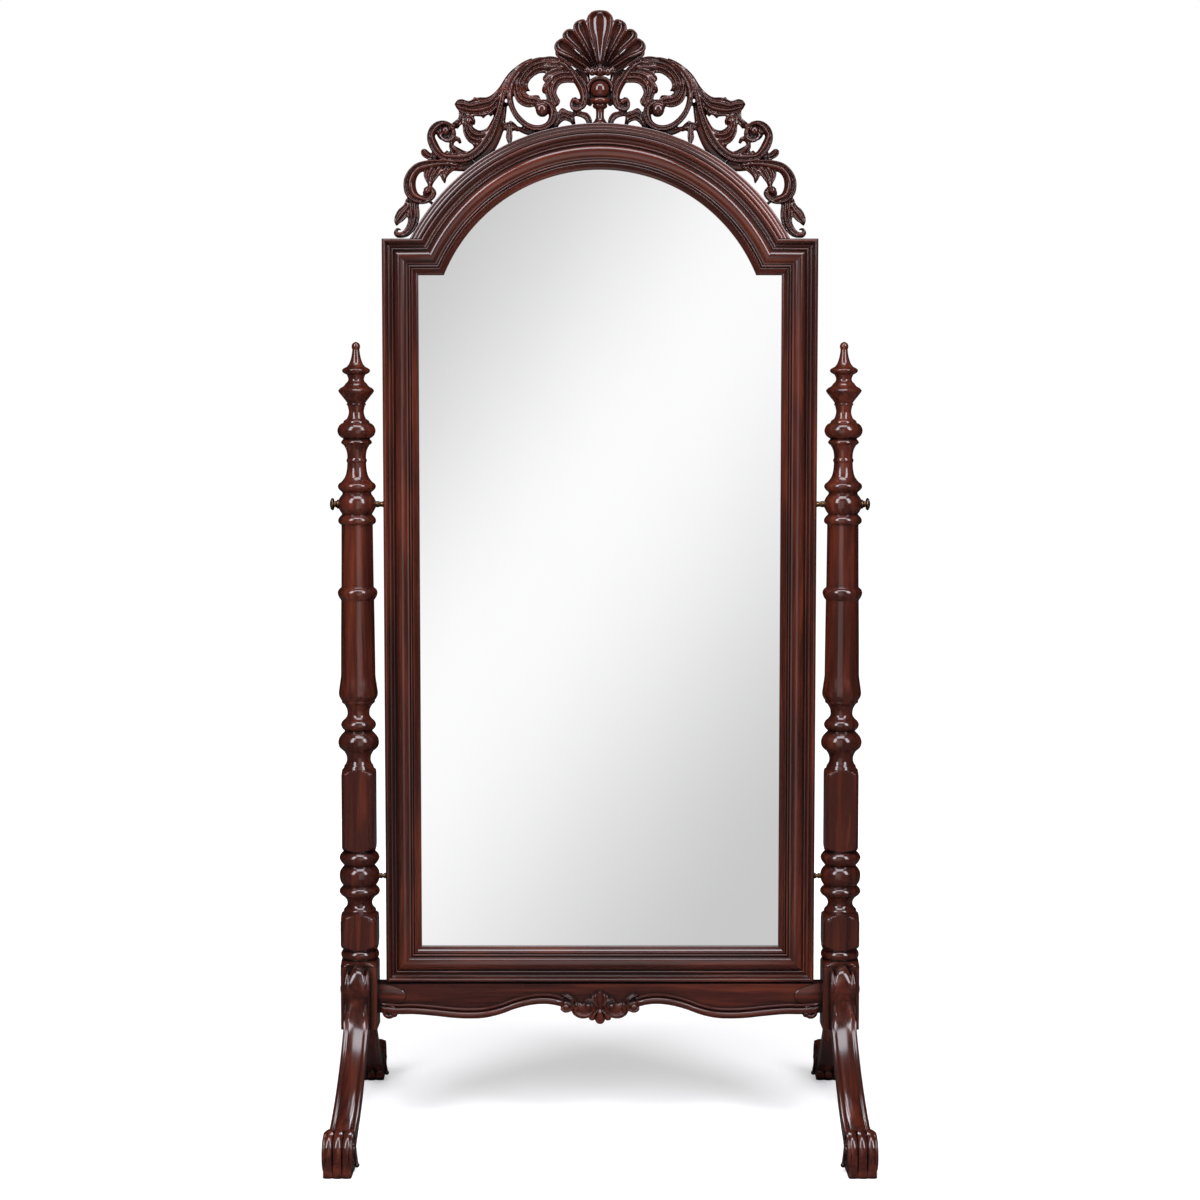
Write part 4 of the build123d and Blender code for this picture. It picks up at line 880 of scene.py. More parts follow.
FLUTED_LEAVES = [
    # The broad leaf that rolls inside the large scroll, and its lower lobe
    (17.5, [(-70, 1822, -78, 1796), (-84, 1824, -88, 1797), (-100, 1821, -101, 1797),
        (-116, 1815, -111, 1792), (-130, 1803, -118, 1785), (-139, 1790, -121, 1778),
        (-143, 1779, -120, 1771), (-135, 1767, -117, 1767)]),
    (16.0, [(-142, 1790, -126, 1784), (-146, 1774, -128, 1772), (-145, 1761, -124, 1764),
        (-139, 1749, -117, 1759), (-129, 1742, -109, 1760), (-118, 1740, -103, 1759),
        (-108, 1743, -100, 1754), (-102, 1750, -101, 1752)]),
    # Leaves that hang inside the scroll beside the shell
    (16.5, [(-38, 1797, -35, 1781), (-50, 1803, -46, 1781), (-66, 1804, -58, 1781), (-81, 1798, -67, 1778),
        (-90, 1787, -72, 1770), (-94, 1774, -73, 1763), (-92, 1762, -70, 1756), (-88, 1750, -67, 1751),
        (-80, 1743, -69, 1745), (-75, 1741, -72, 1742)]),
    (19.0, [(-46, 1806, -46, 1799), (-58, 1812, -57, 1803), (-72, 1814, -71, 1805), (-86, 1812, -84, 1804),
        (-96, 1808, -93, 1802), (-99.5, 1804, -98, 1802)]),
    (17.5, [(-58, 1803, -58, 1794), (-72, 1804, -72, 1793), (-86, 1799, -84, 1788), (-95, 1791, -91, 1782),
        (-96.5, 1786, -94, 1783)]),
    (17.0, [(-76, 1795, -72, 1785), (-88, 1786, -83, 1776), (-96, 1775, -89, 1765),
        (-98, 1767, -95, 1763)]),
    # The long leaf with a turned-up tip on the outer side
    (17.5, [(-146, 1804, -143, 1799), (-158, 1790, -153, 1785), (-170, 1772, -161, 1765),
        (-181, 1761, -168, 1749), (-191, 1756, -179, 1734), (-202, 1756, -190, 1727),
        (-211, 1754, -201, 1725), (-221, 1750, -213, 1726), (-232, 1753, -225, 1728),
        (-240, 1751, -236, 1733), (-245, 1745, -242, 1739)]),
    (16.0, [(-205, 1752, -196, 1744), (-211, 1757, -206, 1750), (-213.5, 1753, -211, 1750)]),
    (15.5, [(-238, 1735, -224, 1729), (-238, 1723, -228, 1720), (-244, 1717, -233, 1713),
        (-252, 1711, -240, 1704)]),
    (15.0, [(-200, 1736, -186, 1733), (-201, 1729, -191, 1727), (-198, 1722, -196, 1722)]),
    (15.0, [(-188, 1738, -176, 1738), (-188, 1730, -180, 1729), (-185, 1725, -183, 1725)]),
    # Leaf inside the long S, with its curl
    (17.5, [(-180, 1692, -175, 1722), (-192, 1684, -183, 1713), (-203, 1677, -192, 1704),
        (-213, 1678, -202, 1701), (-222, 1683, -210, 1704), (-229, 1694, -214, 1708),
        (-231, 1706, -217, 1711), (-231, 1717, -218, 1715), (-225, 1726, -219, 1719),
        (-216, 1727, -218, 1720), (-210, 1719, -215, 1717), (-211, 1711, -216, 1713)]),
    (15.0, [(-196, 1690, -190, 1680), (-208, 1684, -200, 1675), (-215, 1681, -209, 1673.5),
        (-214, 1676, -212, 1675)]),
    # Leaf that rises from the foot of the S
    (17.5, [(-222, 1652, -212, 1665), (-238, 1654, -225, 1666), (-249, 1662, -236, 1671),
        (-254, 1673, -246, 1677), (-252, 1684, -245, 1682), (-245, 1691, -242, 1684),
        (-236, 1689, -239, 1682), (-233, 1681, -238, 1679)]),
    (14.0, [(-256, 1652, -243, 1656), (-261, 1660, -252, 1664), (-259.5, 1669, -257, 1668)]),
    # Leaves of the lower scroll
    (17.0, [(-291, 1643, -256, 1643), (-297, 1631, -267, 1632), (-296, 1622, -275, 1622),
        (-291, 1612, -281, 1614), (-288, 1605, -284, 1606)]),
    (15.5, [(-268, 1643, -234, 1643), (-271, 1631, -248, 1634), (-267, 1620, -258, 1624),
        (-262.5, 1613, -260.5, 1614)]),
    (15.5, [(-272, 1652, -266, 1660), (-284, 1652, -278, 1660), (-294, 1655, -287, 1665),
        (-301, 1661, -293, 1670), (-302, 1668, -298, 1671)]),
    # Tail that ends in a curl on the shoulder
    (18.0, [(-325, 1588, -307, 1583), (-326, 1575, -305, 1569), (-325, 1562, -305, 1555),
        (-324, 1550, -309, 1542), (-328, 1539, -317, 1531), (-334, 1532, -326, 1524),
        (-340, 1531, -336, 1522), (-342, 1533, -344, 1523), (-341, 1535, -348, 1530),
        (-339, 1535, -343, 1538), (-337, 1534, -336, 1537)]),
    (16.5, [(-327, 1588, -316, 1578), (-331, 1577, -320, 1566), (-340, 1569, -327, 1556),
        (-346, 1558, -333, 1550), (-347, 1549, -338, 1547), (-344.5, 1542, -342, 1543)]),
    # Small arches and a hanging bud between the scrolls and the cap
    (16.0, [(-82, 1702, -74, 1704), (-75, 1722, -68, 1712), (-65, 1738, -61, 1718), (-54, 1734, -54, 1717),
        (-45, 1730, -48, 1713), (-41, 1712, -48, 1708)]),
    (15.0, [(-45, 1735, -44, 1726), (-33, 1733, -33, 1724), (-21, 1730, -26, 1720), (-14, 1720, -23, 1714),
        (-13, 1708, -22, 1708)]),
    (16.5, [(-158, 1712, -148, 1712), (-157, 1702, -148, 1702), (-158.5, 1690, -147.5, 1690),
        (-156, 1682, -149, 1682), (-152, 1677, -151, 1677)]),
    (15.0, [(-150, 1718, -154, 1708), (-142, 1712, -146, 1704), (-136, 1705, -139, 1699)]),
    (15.0, [(-152, 1716, -150, 1709), (-161, 1713, -159, 1704), (-167, 1708, -165, 1701)]),
]
# Flat wood behind the carving where nothing is pierced: centre line, half widths
WEBS = [
    ([(-160, 1748), (-163, 1728), (-168, 1708), (-176, 1688), (-187, 1670), (-203, 1654), (-222, 1643),
        (-246, 1640)], [4, 5, 7, 8, 9, 10, 9, 6]),
    ([(-236, 1645), (-262, 1646), (-286, 1644)], [5, 5, 5]), ([(-316, 1604), (-315, 1585), (-314, 1562),
        (-320, 1540)], [5, 8, 7, 6]),
    ([(-134, 1703), (-118, 1699), (-100, 1701), (-84, 1704), (-74, 1706)], [4, 6, 6, 6, 4]),
    ([(-64, 1806), (-84, 1806), (-104, 1806)], [6, 9, 8]), ([(-168, 1707), (-154, 1706), (-140, 1705),
        (-126, 1702)], [4, 5, 4, 4]),
    ([(-30, 1806), (-26, 1790), (-20, 1774), (-17, 1758), (-17, 1746)], [12, 9, 6, 5, 4]),
]
# Round ground under the curls: x, z, radius
DISCS = [(-261, 1699, 15.0), (-220, 1716, 8.0), (-40.5, 1745.5, 10.0), (-290, 1597, 9.0), (-97, 1735, 11.0)]
# Round buttons in the eyes of the curls: x, z, radius
BUTTONS = [
    (-98, 1735, 10.5), (-260, 1700, 7.0), (-38.5, 1748.5, 4.5), (-291, 1600, 5.0), (-220.5, 1716, 4.2),
    (-150, 1713.5, 3.6),
]


WEB_HEIGHT = 8.0
DISC_HEIGHT = 11.0
BUTTON_DEPTH = 14.5
FLUTE_WIDTH = 8.0
MOST_FLUTES = 3
WING_VOXEL = 1.25
SHELL_VOXEL = 0.85
BOSS_Z = 1768.0


def smooth_carving(piece, voxel, passes):
    """All the strokes become one closed skin, then its cut marks are eased; the voxel is in millimetres."""
    remesh = piece.modifiers.new("skin", "REMESH")
    remesh.mode = "VOXEL"
    remesh.voxel_size = voxel * MM
    remesh.use_smooth_shade = True
    ease = piece.modifiers.new("ease", "SMOOTH")
    ease.factor = 0.5
    ease.iterations = passes
    evaluated(piece).data.shade_smooth()
    return piece


# From the bottom edge to the top one: a thick reed, a groove and a thin bead
SERPENTINE_SECTION = [
    (-1.0, 0.0), (-1.0, 0.35), (-0.92, 0.58), (-0.76, 0.80), (-0.52, 0.96), (-0.24, 1.0), (0.02, 0.94),
    (0.20, 0.76), (0.31, 0.50), (0.36, 0.38), (0.44, 0.38), (0.50, 0.56), (0.62, 0.72), (0.76, 0.72),
    (0.88, 0.56), (0.97, 0.30), (1.0, 0.0),
]
BEAD_HEIGHT = 18.6
APRON_VOXEL = 0.55
# Balls on each half of the ornament: x, z, radius, how far they stand out
APRON_BALLS = [(20, 208.5, 5.4, 4.5), (58.5, 206.5, 7.0, 2.5), (42, 206, 5.5, 3.0)]
# Ground of the ornament: x, z, radius, height, on both halves and in the middle
APRON_GROUND = [(19, 206, 13.0, 4.0), (56, 208, 9.0, 4.0), (38, 203, 11.0, 4.0), (29, 201, 11.0, 4.0)]
MIDDLE_GROUND = [(0, 205, 16.0, 5.0), (0, 220, 12.0, 5.0), (0, 190, 10.0, 4.0)]
# Half-oval plate on each end of the rail: its straight edge, middle, then steps of its rounded face
PLATE_EDGE = -383
PLATE_MIDDLE = 229
PLATE_STEPS = ((1.0, 0.0), (1.0, 1.3), (0.97, 2.2), (0.93, 2.5))
# Carving at the middle of the apron: height, section, pairs of points across it, on the left of the middle
APRON_SCROLLS = [
    (8.6, [(-66, 230, -66, 226), (-56, 228, -58, 224), (-47, 222, -51, 218), (-45.5, 213, -50, 211),
        (-46.5, 204, -51, 205), (-53, 198.5, -54, 202.5), (-62, 198, -60, 202), (-68, 203, -64, 205),
        (-67, 209, -63, 208)]),
    (8.4, [(-60, 231.5, -60, 229), (-52, 228, -53, 225.5), (-44, 221, -46, 219), (-39, 215, -41, 213.5)]),
    (9.6, [(-40, 217, -38, 212), (-46, 211, -38, 208), (-49, 204, -39.5, 203), (-47, 196, -38, 199),
        (-39, 189.5, -34, 196), (-30, 187.5, -27.5, 194.5), (-20, 189, -20, 196), (-12, 194, -16, 200),
        (-7.5, 203, -12.5, 205), (-7.5, 213, -12, 211.5), (-12, 220, -15, 216), (-20, 223, -20, 218.5),
        (-26, 219, -23, 216), (-27.5, 214, -24, 213.5)]),
]
APRON_LOBES = [
    (9.6, [(-3, 203, 3, 203), (-5, 214, 5, 214), (-5.5, 225, 5.5, 225), (-4.5, 232, 4.5, 232),
        (-1.5, 235.4, 1.5, 235.4)]),
    (9.0, [(-6, 204, -2.5, 204), (-9, 215, -4.5, 215), (-10.5, 225, -5, 226), (-9.5, 230, -5.5, 230.5)]),
    (8.4, [(-8, 206, -5, 205), (-12.5, 215, -8.5, 215), (-15.5, 222, -10, 225), (-14, 227, -11, 228.5)]),
    (10.0, [(-3, 204, 3, 204), (-6, 194, 6, 194), (-8.6, 185, 8.6, 185), (-6, 179.5, 6, 179.5),
        (-2, 177.8, 2, 177.8)]),
    (8.8, [(-6, 200, -3, 202), (-13, 195, -7, 194), (-19, 188.5, -9, 186), (-18, 184, -11, 183)]),
]
PLATE_OUTLINE = [
    (-383, 247), (-366, 245.4), (-352, 241.5), (-341, 236), (-335.5, 230), (-334.5, 224.5), (-337, 218.5),
    (-342, 214.4), (-350, 212.8), (-383, 211.8),
]


def make_apron(wood, level):
    edge = [(x, z, x, z + BEAD_HEIGHT) for x, z in APRON]
    parts = [ribbon(9.0, edge, SERPENTINE_SECTION, 5, RAIL_FRONT)]
    parts.append(volute(-364.0, 198.5, 11.0, 1.35, 80, -1, RAIL_FRONT, 8.0))
    parts.append(ball((-354.5, RAIL_FRONT - 2.0, 194.5), 6.0, 20, 14))
    pair("serpentine_bead", gather(parts), wood, "stand", "apron_bead", 40)

    parts = []
    for height, pairs, section in ([(h, p, SCROLL_SECTION) for h, p in APRON_SCROLLS]
                                   + [(h, p, ROUND) for h, p in APRON_LOBES]):
        single = pairs[0][0] == -pairs[0][2]
        for side in ((1,) if single else (1, -1)):
            turned = [(side * x, z, side * inner_x, inner_z) for x, z, inner_x, inner_z in pairs]
            parts.append(ribbon(height, turned, section, 5, RAIL_FRONT))
    for side in (1, -1):
        for x, z, radius, depth in APRON_BALLS:
            parts.append(ball((side * x, RAIL_FRONT - depth, z), radius, 24, 16))
        for x, z, radius, height in APRON_GROUND:
            parts.append(disc(side * x, z, radius, height, RAIL_FRONT))
    for x, z, radius, height in MIDDLE_GROUND:
        parts.append(disc(x, z, radius, height, RAIL_FRONT))
    piece = smooth_carving(build("apron_shell_carving", *gather(parts), wood, 40), APRON_VOXEL, 2)
    fit(piece, "stand", "apron_shell")

    outline = curve(PLATE_OUTLINE, 5)
    plate = [[(PLATE_EDGE + (x - PLATE_EDGE) * grow, RAIL_FRONT - depth,
               PLATE_MIDDLE + (z - PLATE_MIDDLE) * grow) for x, z in outline] for grow, depth in PLATE_STEPS]
    pair("rail_end_plate", loft(plate), level, "stand", "rail_tongue", 30)


def above_cap(vertices):
    """Foot of the carving: nothing goes below the cap or the shoulder it stands on."""
    kept = []
    for x, y, z in vertices:
        radius = math.hypot(x, z - ARCH_Z)
        floor = CAP_R - 0.6
        if radius < floor:
            z = ARCH_Z + (z - ARCH_Z) * floor / radius
            x = x * floor / radius
        kept.append((x, y, max(z, SHOULDER_Z - 0.4)))
    return kept


def fluted_section(flutes, depth=0.34):
    """Rounded ridges with hollows between them, over a low dome."""
    points = [(-1.0, 0.0)]
    count = 8 * flutes
    for k in range(count + 1):
        a = 2 * k / count - 1
        dome = 0.78 + 0.22 * math.sqrt(max(1 - a * a, 0.0))
        points.append((a, dome * (1 - depth * 0.5 * (1 - math.cos(2 * math.pi * flutes * k / count)))))
    return points + [(1.0, 0.0)]


def wing_shape():
    parts = []
    for height, pairs in SCROLLS:
        parts.append(ribbon(height, pairs, SCROLL_SECTION))
    for height, pairs in FLUTED_LEAVES:
        widest = max(math.dist(p[:2], p[2:]) for p in pairs)
        flutes = max(1, min(MOST_FLUTES, round(widest / FLUTE_WIDTH)))
        parts.append(ribbon(height, pairs, fluted_section(flutes)))
    for points, widths in WEBS:
        parts.append(relief(stroke(points, widths, [WEB_HEIGHT] * len(points), 4), ROUND, CREST_BACK))
    for x, z, r in DISCS:
        parts.append(disc(x, z, r, DISC_HEIGHT, CREST_BACK))
    for x, z, r in BUTTONS:
        parts.append(ball((x, CREST_BACK - BUTTON_DEPTH, z), r, 28, 18, (1, 0.72, 1)))
        parts.append(disc(x, z, 0.85 * r, 13.0, CREST_BACK))
    vertices, faces = gather(parts)
    return above_cap(vertices), faces


# Lobes of the shell, centre first and then outwards, each as pairs across it from its root to its tip
LOBES = [
    [(-4, 1806, 4, 1806), (-9, 1830, 9, 1830), (-15, 1855, 15, 1855), (-20, 1874, 20, 1874),
        (-20, 1888, 20, 1888), (-14, 1896.5, 14, 1896.5), (-6, 1899.6, 6, 1899.6)],
    [(-8, 1805, -3, 1806), (-18, 1827, -9, 1829), (-31, 1850, -16, 1854), (-41, 1865, -20, 1872),
        (-43, 1874, -24, 1881), (-39, 1881, -29, 1885)],
    [(-11, 1804, -7, 1806), (-25, 1821, -17, 1825), (-43, 1839, -31, 1848), (-58, 1852, -42, 1864),
        (-61, 1860, -47, 1868), (-57, 1866, -52, 1868.5)],
    [(-14, 1802, -10, 1805), (-31, 1812, -24, 1819), (-51, 1823, -43, 1836), (-69, 1830, -58, 1850),
        (-75, 1838, -63, 1853), (-73, 1846, -69, 1850)],
    [(-15, 1794, -13, 1803), (-32, 1799, -30, 1811), (-47, 1809, -47, 1822), (-61, 1819, -62, 1829),
        (-72, 1826, -72, 1833)],
]


# Pearls under the shell: x, z, radius
SHELL_PEARLS = [(0, 1799, 7.5), (-13, 1798, 6.5), (13, 1798, 6.5), (-21, 1801, 5.0), (21, 1801, 5.0)]
# Flat ground behind the boss and behind the roots of the lobes: x, z, half width, height
SHELL_GROUND = [[(-19, 1767, 20, 7.6), (0, 1767, 23, 8.0), (19, 1767, 20, 7.6)],
                [(-30, 1806, 8, 8.0), (0, 1806, 14, 9.0), (30, 1806, 8, 8.0)]]
HOOD_RADIUS = 20.5
HOOD_POINTS = 21


def lowered(z):
    """Room above the lobes for their rolled rims."""
    return min(z, 1800 + (z - 1800) * 0.976)


def shell_shape():
    parts = []
    for order, pairs in enumerate(LOBES):
        for side in ((1,) if order == 0 else (1, -1)):
            height = 18.6 - 0.8 * order
            turned = [(side * x, lowered(z), side * inner_x, lowered(inner_z))
                      for x, z, inner_x, inner_z in pairs]
            parts.append(ribbon(height, turned, LOBE_SECTION, 6))
            rim = curve([(x, z) for x, z, _, _ in turned[2:]] + [(x, z) for _, _, x, z in turned[:1:-1]], 5)
            parts.append(rod([(x, CREST_BACK - height + 2.0, z) for x, z in rim], [2.1] * len(rim), 10))
    for x, z, r in SHELL_PEARLS:
        parts.append(ball((x, CREST_BACK - 12.0, z), r, 24, 16, (1, 0.85, 1.05)))
    hood = []
    for k in range(HOOD_POINTS):
        angle = math.radians(-8 + 196 * k / (HOOD_POINTS - 1))
        hood.append((HOOD_RADIUS * math.cos(angle), CREST_BACK - 9.0, BOSS_Z + HOOD_RADIUS * math.sin(angle)))
    parts.append(rod(hood, [3.8] * HOOD_POINTS, 14))
    for ground in SHELL_GROUND:
        parts.append(relief(ground, ROUND, CREST_BACK))
    return gather(parts)


BOSS_RUNS = [
    [(12.8, 1712), (12.4, 1714), (9.6, 1717), (8, 1720)], [(7.2, 1720.6), (6.6, 1728), (7.2, 1736.4)],
    [(8.6, 1737), (11.4, 1739), (12.4, 1742), (11.6, 1744.4)], [(12.4, 1744.8), (17, 1746.6), (18.6, 1750),
        (17, 1753.4), (12.4, 1755)],
    [(9, 1755.4), (8.4, 1757.6)],
]


BOSS_SIDES = 56
BOSS_FACE = -4.2
BALL_RADIUS = 16.3


def split_ring(radius, height):
    """A ring of the split turning, flat at the back."""
    return [(radius * c, BOSS_FACE + min(radius * s, 0.0), height) for c, s in circle(BOSS_SIDES)]


def boss_shape():
    stem = [split_ring(radius, height) for radius, height in turned_line(BOSS_RUNS, 5)]
    sphere = []
    for k in range(25):
        tilt = math.pi * (0.01 + 0.98 * k / 24)
        sphere.append(split_ring(BALL_RADIUS * math.sin(tilt), BOSS_Z + BALL_RADIUS * math.cos(tilt)))
    return gather([loft(stem), loft(sphere)])


def make_crest(wood):
    vertices, faces = wing_shape()
    for word, side in SIDES:
        piece = build(f"carved_wing_{word}", flipped(vertices, side), faces, wood)
        smooth_carving(piece, WING_VOXEL, 4)
        fit(piece, "mirror", f"crest_wing_{word}")
    shell = smooth_carving(build("carved_shell", *shell_shape(), wood), SHELL_VOXEL, 5)
    fit(shell, "mirror", "crest_shell")
    fit(build("split_boss", *boss_shape(), wood, 30), "mirror", "crest_boss")


# Brass and steel

def rings_along_x(outline, z, sides=56):
    return [[(x, radius * c, z + radius * s) for c, s in circle(sides)] for x, radius in outline]


def turned_along_x(runs, z):
    """Turned about a level axis: runs are (x, radius)."""
    return loft(rings_along_x(turned_line(runs, 4), z))


def open_tube(runs, z, bore):
    """Turned brass with a hole through it."""
    outline = turned_line(runs, 4)
    rings = rings_along_x(outline + [(outline[-1][0], bore), (outline[0][0], bore)], z)
    vertices, faces = loft(rings)
    sides = len(rings[0])
    last = (len(rings) - 1) * sides
    faces = faces[:-2] + [(last + k, last + (k + 1) % sides, (k + 1) % sides, k) for k in range(sides)]
    return vertices, faces


BUSH_SEAT = -POST_X - 31.3
FLANGE = 3.6
FRAME_X = -(SIGHT_X + FRAME_WIDTH)
SHANK_BORE = 4.1
BOLT_Z = 234.0
BOLT_Y = 1.0


def make_brass(brass):
    neck = BUSH_SEAT - FLANGE - 0.3
    face = neck - 3.6
    knob = [
        [(FRAME_X + 18.0, 3.2), (FRAME_X + 17.0, 4.0)], [(neck + 0.1, 4.0), (neck, 5.4)],
        [(neck, 5.4), (neck - 0.9, 5.8), (neck - 1.8, 5.2)], [(neck - 2.0, 4.6), (face, 4.9)],
        [(face, 7.4), (face - 0.9, 9.6), (face - 2.2, 10.5), (face - 3.6, 10.7)],
        [(face - 3.8, 10.2), (face - 4.2, 9.9)],
        [(face - 4.3, 10.1), (face - 5.2, 9.0), (face - 6.4, 6.4), (face - 7.2, 3.2), (face - 7.5, 0.1)],
    ]
    pair("clamp_knob", turned_along_x(knob, PIVOT_Z), brass, "screw_SIDE", "pivot_screw")
    end = -POST_X + 31.6
    bush = [
        [(BUSH_SEAT - FLANGE, SHANK_BORE), (BUSH_SEAT - FLANGE, 5.8)],
        [(BUSH_SEAT - FLANGE + 0.2, 6.2), (BUSH_SEAT - FLANGE + 1.2, 7.4), (BUSH_SEAT - 1.2, 7.9),
         (BUSH_SEAT, 7.9)],
        [(BUSH_SEAT, 7.0), (end, 7.0)], [(end, SHANK_BORE), (end, SHANK_BORE)],
    ]
    pair("flanged_bush", open_tube(bush, PIVOT_Z, SHANK_BORE), brass, "stand", "pivot_bush")
    start = end + 0.5
    length = FRAME_X - start
    collar = [
        [(start, SHANK_BORE), (start, 4.9)],
        [(start, 4.9), (start + 0.12 * length, 5.3), (start + 0.28 * length, 5.4),
         (start + 0.42 * length, 4.9)],
        [(start + 0.45 * length, 4.6), (start + 0.66 * length, 4.5), (start + 0.86 * length, 5.0),
         (FRAME_X, 5.8)],
    ]
    spool = open_tube(collar, PIVOT_Z, SHANK_BORE)
    pair("spool_collar", spool, brass, "mirror", "pivot_collar")
    ball_face = -POST_X + 34.5
    tip = FRAME_X - 0.5
    pin = [
        [(ball_face - 16, 2.9), (ball_face - 1.5, 2.9)], [(ball_face - 1.5, 4.2), (ball_face + 1.0, 4.2)],
        [(ball_face + 1.2, 4.2), (ball_face + 2.2, 4.9), (ball_face + 3.4, 5.0), (ball_face + 4.4, 4.2)],
        [(ball_face + 4.6, 3.6), (ball_face + 5.8, 3.4), (ball_face + 7.0, 3.6)],
        [(tip - 3.8, 4.2), (tip - 2.6, 5.0), (tip - 1.2, 4.8), (tip, 4.0)],
    ]
    pair("steady_spool", turned_along_x(pin, STEADY_Z), brass, "stand", "steady_pin")
    cap = [
        [(-POST_X - 31.5, 8.4), (-POST_X - 32.6, 8.5)],
        [(-POST_X - 32.8, 8.2), (-POST_X - 34.0, 7.0), (-POST_X - 34.7, 4.4), (-POST_X - 35.0, 0.1)],
    ]
    vertices, faces = turned_along_x(cap, BOLT_Z)
    vertices = [(x, y + BOLT_Y, z) for x, y, z in vertices]
    caps = [(flipped(vertices, side), faces) for side in (1, -1)]
    fit(build("bolt_covers", *gather(caps), brass), "stand", "bolt_caps")


SCREW_INSET = 13.0
SCREW_FACE = 0.0186
HEAD_RADIUS = 0.0034
SHANK_RADIUS = 0.0016
SHANK_LENGTH = 0.010
HEAD_FLATNESS = 0.36


def screw_places():
    """Up both stiles, along the rail and round the arch."""
    x = SIGHT_X + SCREW_INSET
    radius = ARCH_R + SCREW_INSET
    places = [(side * x, z) for side in (-1, 1) for z in (330, 560, 790, 1020, 1250, 1440)]
    places += [(x1, SIGHT_BOTTOM - SCREW_INSET) for x1 in (-200, 0, 200)]
    for degrees in (-55, -28, 0, 28, 55):
        angle = math.radians(degrees)
        places.append((radius * math.sin(angle), ARCH_Z + radius * math.cos(angle)))
    return places


def screw_tree(steel):
    """Geometry nodes that set a round-headed screw on every point."""
    tree = bpy.data.node_groups.new("backboard screws", "GeometryNodeTree")
    tree.interface.new_socket("Geometry", in_out="INPUT", socket_type="NodeSocketGeometry")
    sockets = {}
    for name, default in (("Head radius", HEAD_RADIUS), ("Shank radius", SHANK_RADIUS)):
        sockets[name] = tree.interface.new_socket(name, in_out="INPUT", socket_type="NodeSocketFloat")
        sockets[name].default_value = default
    tree.interface.new_socket("Geometry", in_out="OUTPUT", socket_type="NodeSocketGeometry")

    def node(kind, **values):
        made = tree.nodes.new(kind)
        for key, value in values.items():
            made.inputs[key].default_value = value
        return made

    upright = (math.radians(90), 0.0, 0.0)
    inputs, outputs = node("NodeGroupInput"), node("NodeGroupOutput")
    dome = node("GeometryNodeMeshUVSphere", Segments=20, Rings=10)
    turn = node("GeometryNodeTransform", Rotation=upright)
    flatten = node("GeometryNodeTransform", Scale=(1.0, HEAD_FLATNESS, 1.0))
    shank = node("GeometryNodeMeshCylinder", Vertices=12, Depth=SHANK_LENGTH)
    lay = node("GeometryNodeTransform", Rotation=upright, Translation=(0.0, -SHANK_LENGTH / 2, 0.0))
    both = node("GeometryNodeJoinGeometry")
    points = node("GeometryNodeInstanceOnPoints")
    real = node("GeometryNodeRealizeInstances")
    finish = node("GeometryNodeSetMaterial", Material=steel)
    for start, output, end, socket in (
            (inputs, "Head radius", dome, "Radius"), (inputs, "Shank radius", shank, "Radius"),
            (dome, "Mesh", turn, "Geometry"), (turn, "Geometry", flatten, "Geometry"),
            (shank, "Mesh", lay, "Geometry"), (flatten, "Geometry", both, "Geometry"),
            (lay, "Geometry", both, "Geometry"), (inputs, "Geometry", points, "Points"),
            (both, "Geometry", points, "Instance"), (points, "Instances", real, "Geometry"),
            (real, "Geometry", finish, "Geometry"), (finish, "Geometry", outputs, "Geometry")):
        tree.links.new(start.outputs[output], end.inputs[socket])
    return tree, sockets


def make_board_screws(steel):
    mesh = bpy.data.meshes.new("board_screws")
    mesh.from_pydata([(x * MM, SCREW_FACE, z * MM) for x, z in screw_places()], [], [])
    piece = place_object("board_screws", mesh)
    tree, sockets = screw_tree(steel)
    modifier = piece.modifiers.new("screws", "NODES")
    modifier.node_group = tree
    modifier[sockets["Head radius"].identifier] = HEAD_RADIUS
    bpy.context.view_layer.update()
    fit(evaluated(piece), "mirror", "backboard_screws")


# Solids that keep their own shape and take a finish

def dress_nodes(finishes):
    for name, material in finishes.items():
        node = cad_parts[name]
        node.data.materials.clear()
        node.data.materials.append(material)


# Studio

FLOOR_REACH = 60.0
PAPER_SHADE = (0.86, 0.86, 0.86)
PAPER_WHITE = (0.88, 0.88, 0.88)
FLOOR_IN_POLISH = (0.05, 0.05, 0.05, 1.0)
WORLD_LIGHT = (0.13, 0.13, 0.13, 1.0)
WORLD_IN_POLISH = (0.012, 0.012, 0.014, 1.0)
BACKDROP = (1.0, 1.0, 1.0, 1.0)
# Card in front of the glass: distance, half width, foot and head, in metres
CARD_Y = -1.30
CARD_HALF = 0.405
CARD_FOOT = 0.02
CARD_HEAD = 1.765
CAMERA_PLACE = (0.0, -4.23704, 1.22558)
CAMERA_TILT = 85.71709
CAMERA_LENS = 74.598
COOL_WHITE = (0.94, 0.93, 1.0)
WHITE = (1.0, 1.0, 1.0)
# Lamps: place, aim, size, watts, colour, and whether the polish shows them
SOFTBOXES = {
    "left_softbox": ((-2.3, -2.8, 3.2), (0.0, 0.0, 1.1), (1.2, 3.2), 150, COOL_WHITE, True),
    "right_softbox": ((2.3, -2.8, 3.2), (0.0, 0.0, 1.1), (1.2, 3.2), 150, COOL_WHITE, True),
    "top_softbox": ((0.0, -1.5, 4.3), (0.0, -0.2, 0.4), (2.4, 1.2), 85, COOL_WHITE, True),
    "wash_softbox": ((0.0, -5.5, 3.2), (0.0, 0.0, 1.0), (5.0, 2.5), 60, WHITE, False),
    "back_softbox": ((0.0, 3.4, 2.6), (0.0, 0.0, 1.0), (3.0, 2.0), 60, WHITE, False),
}


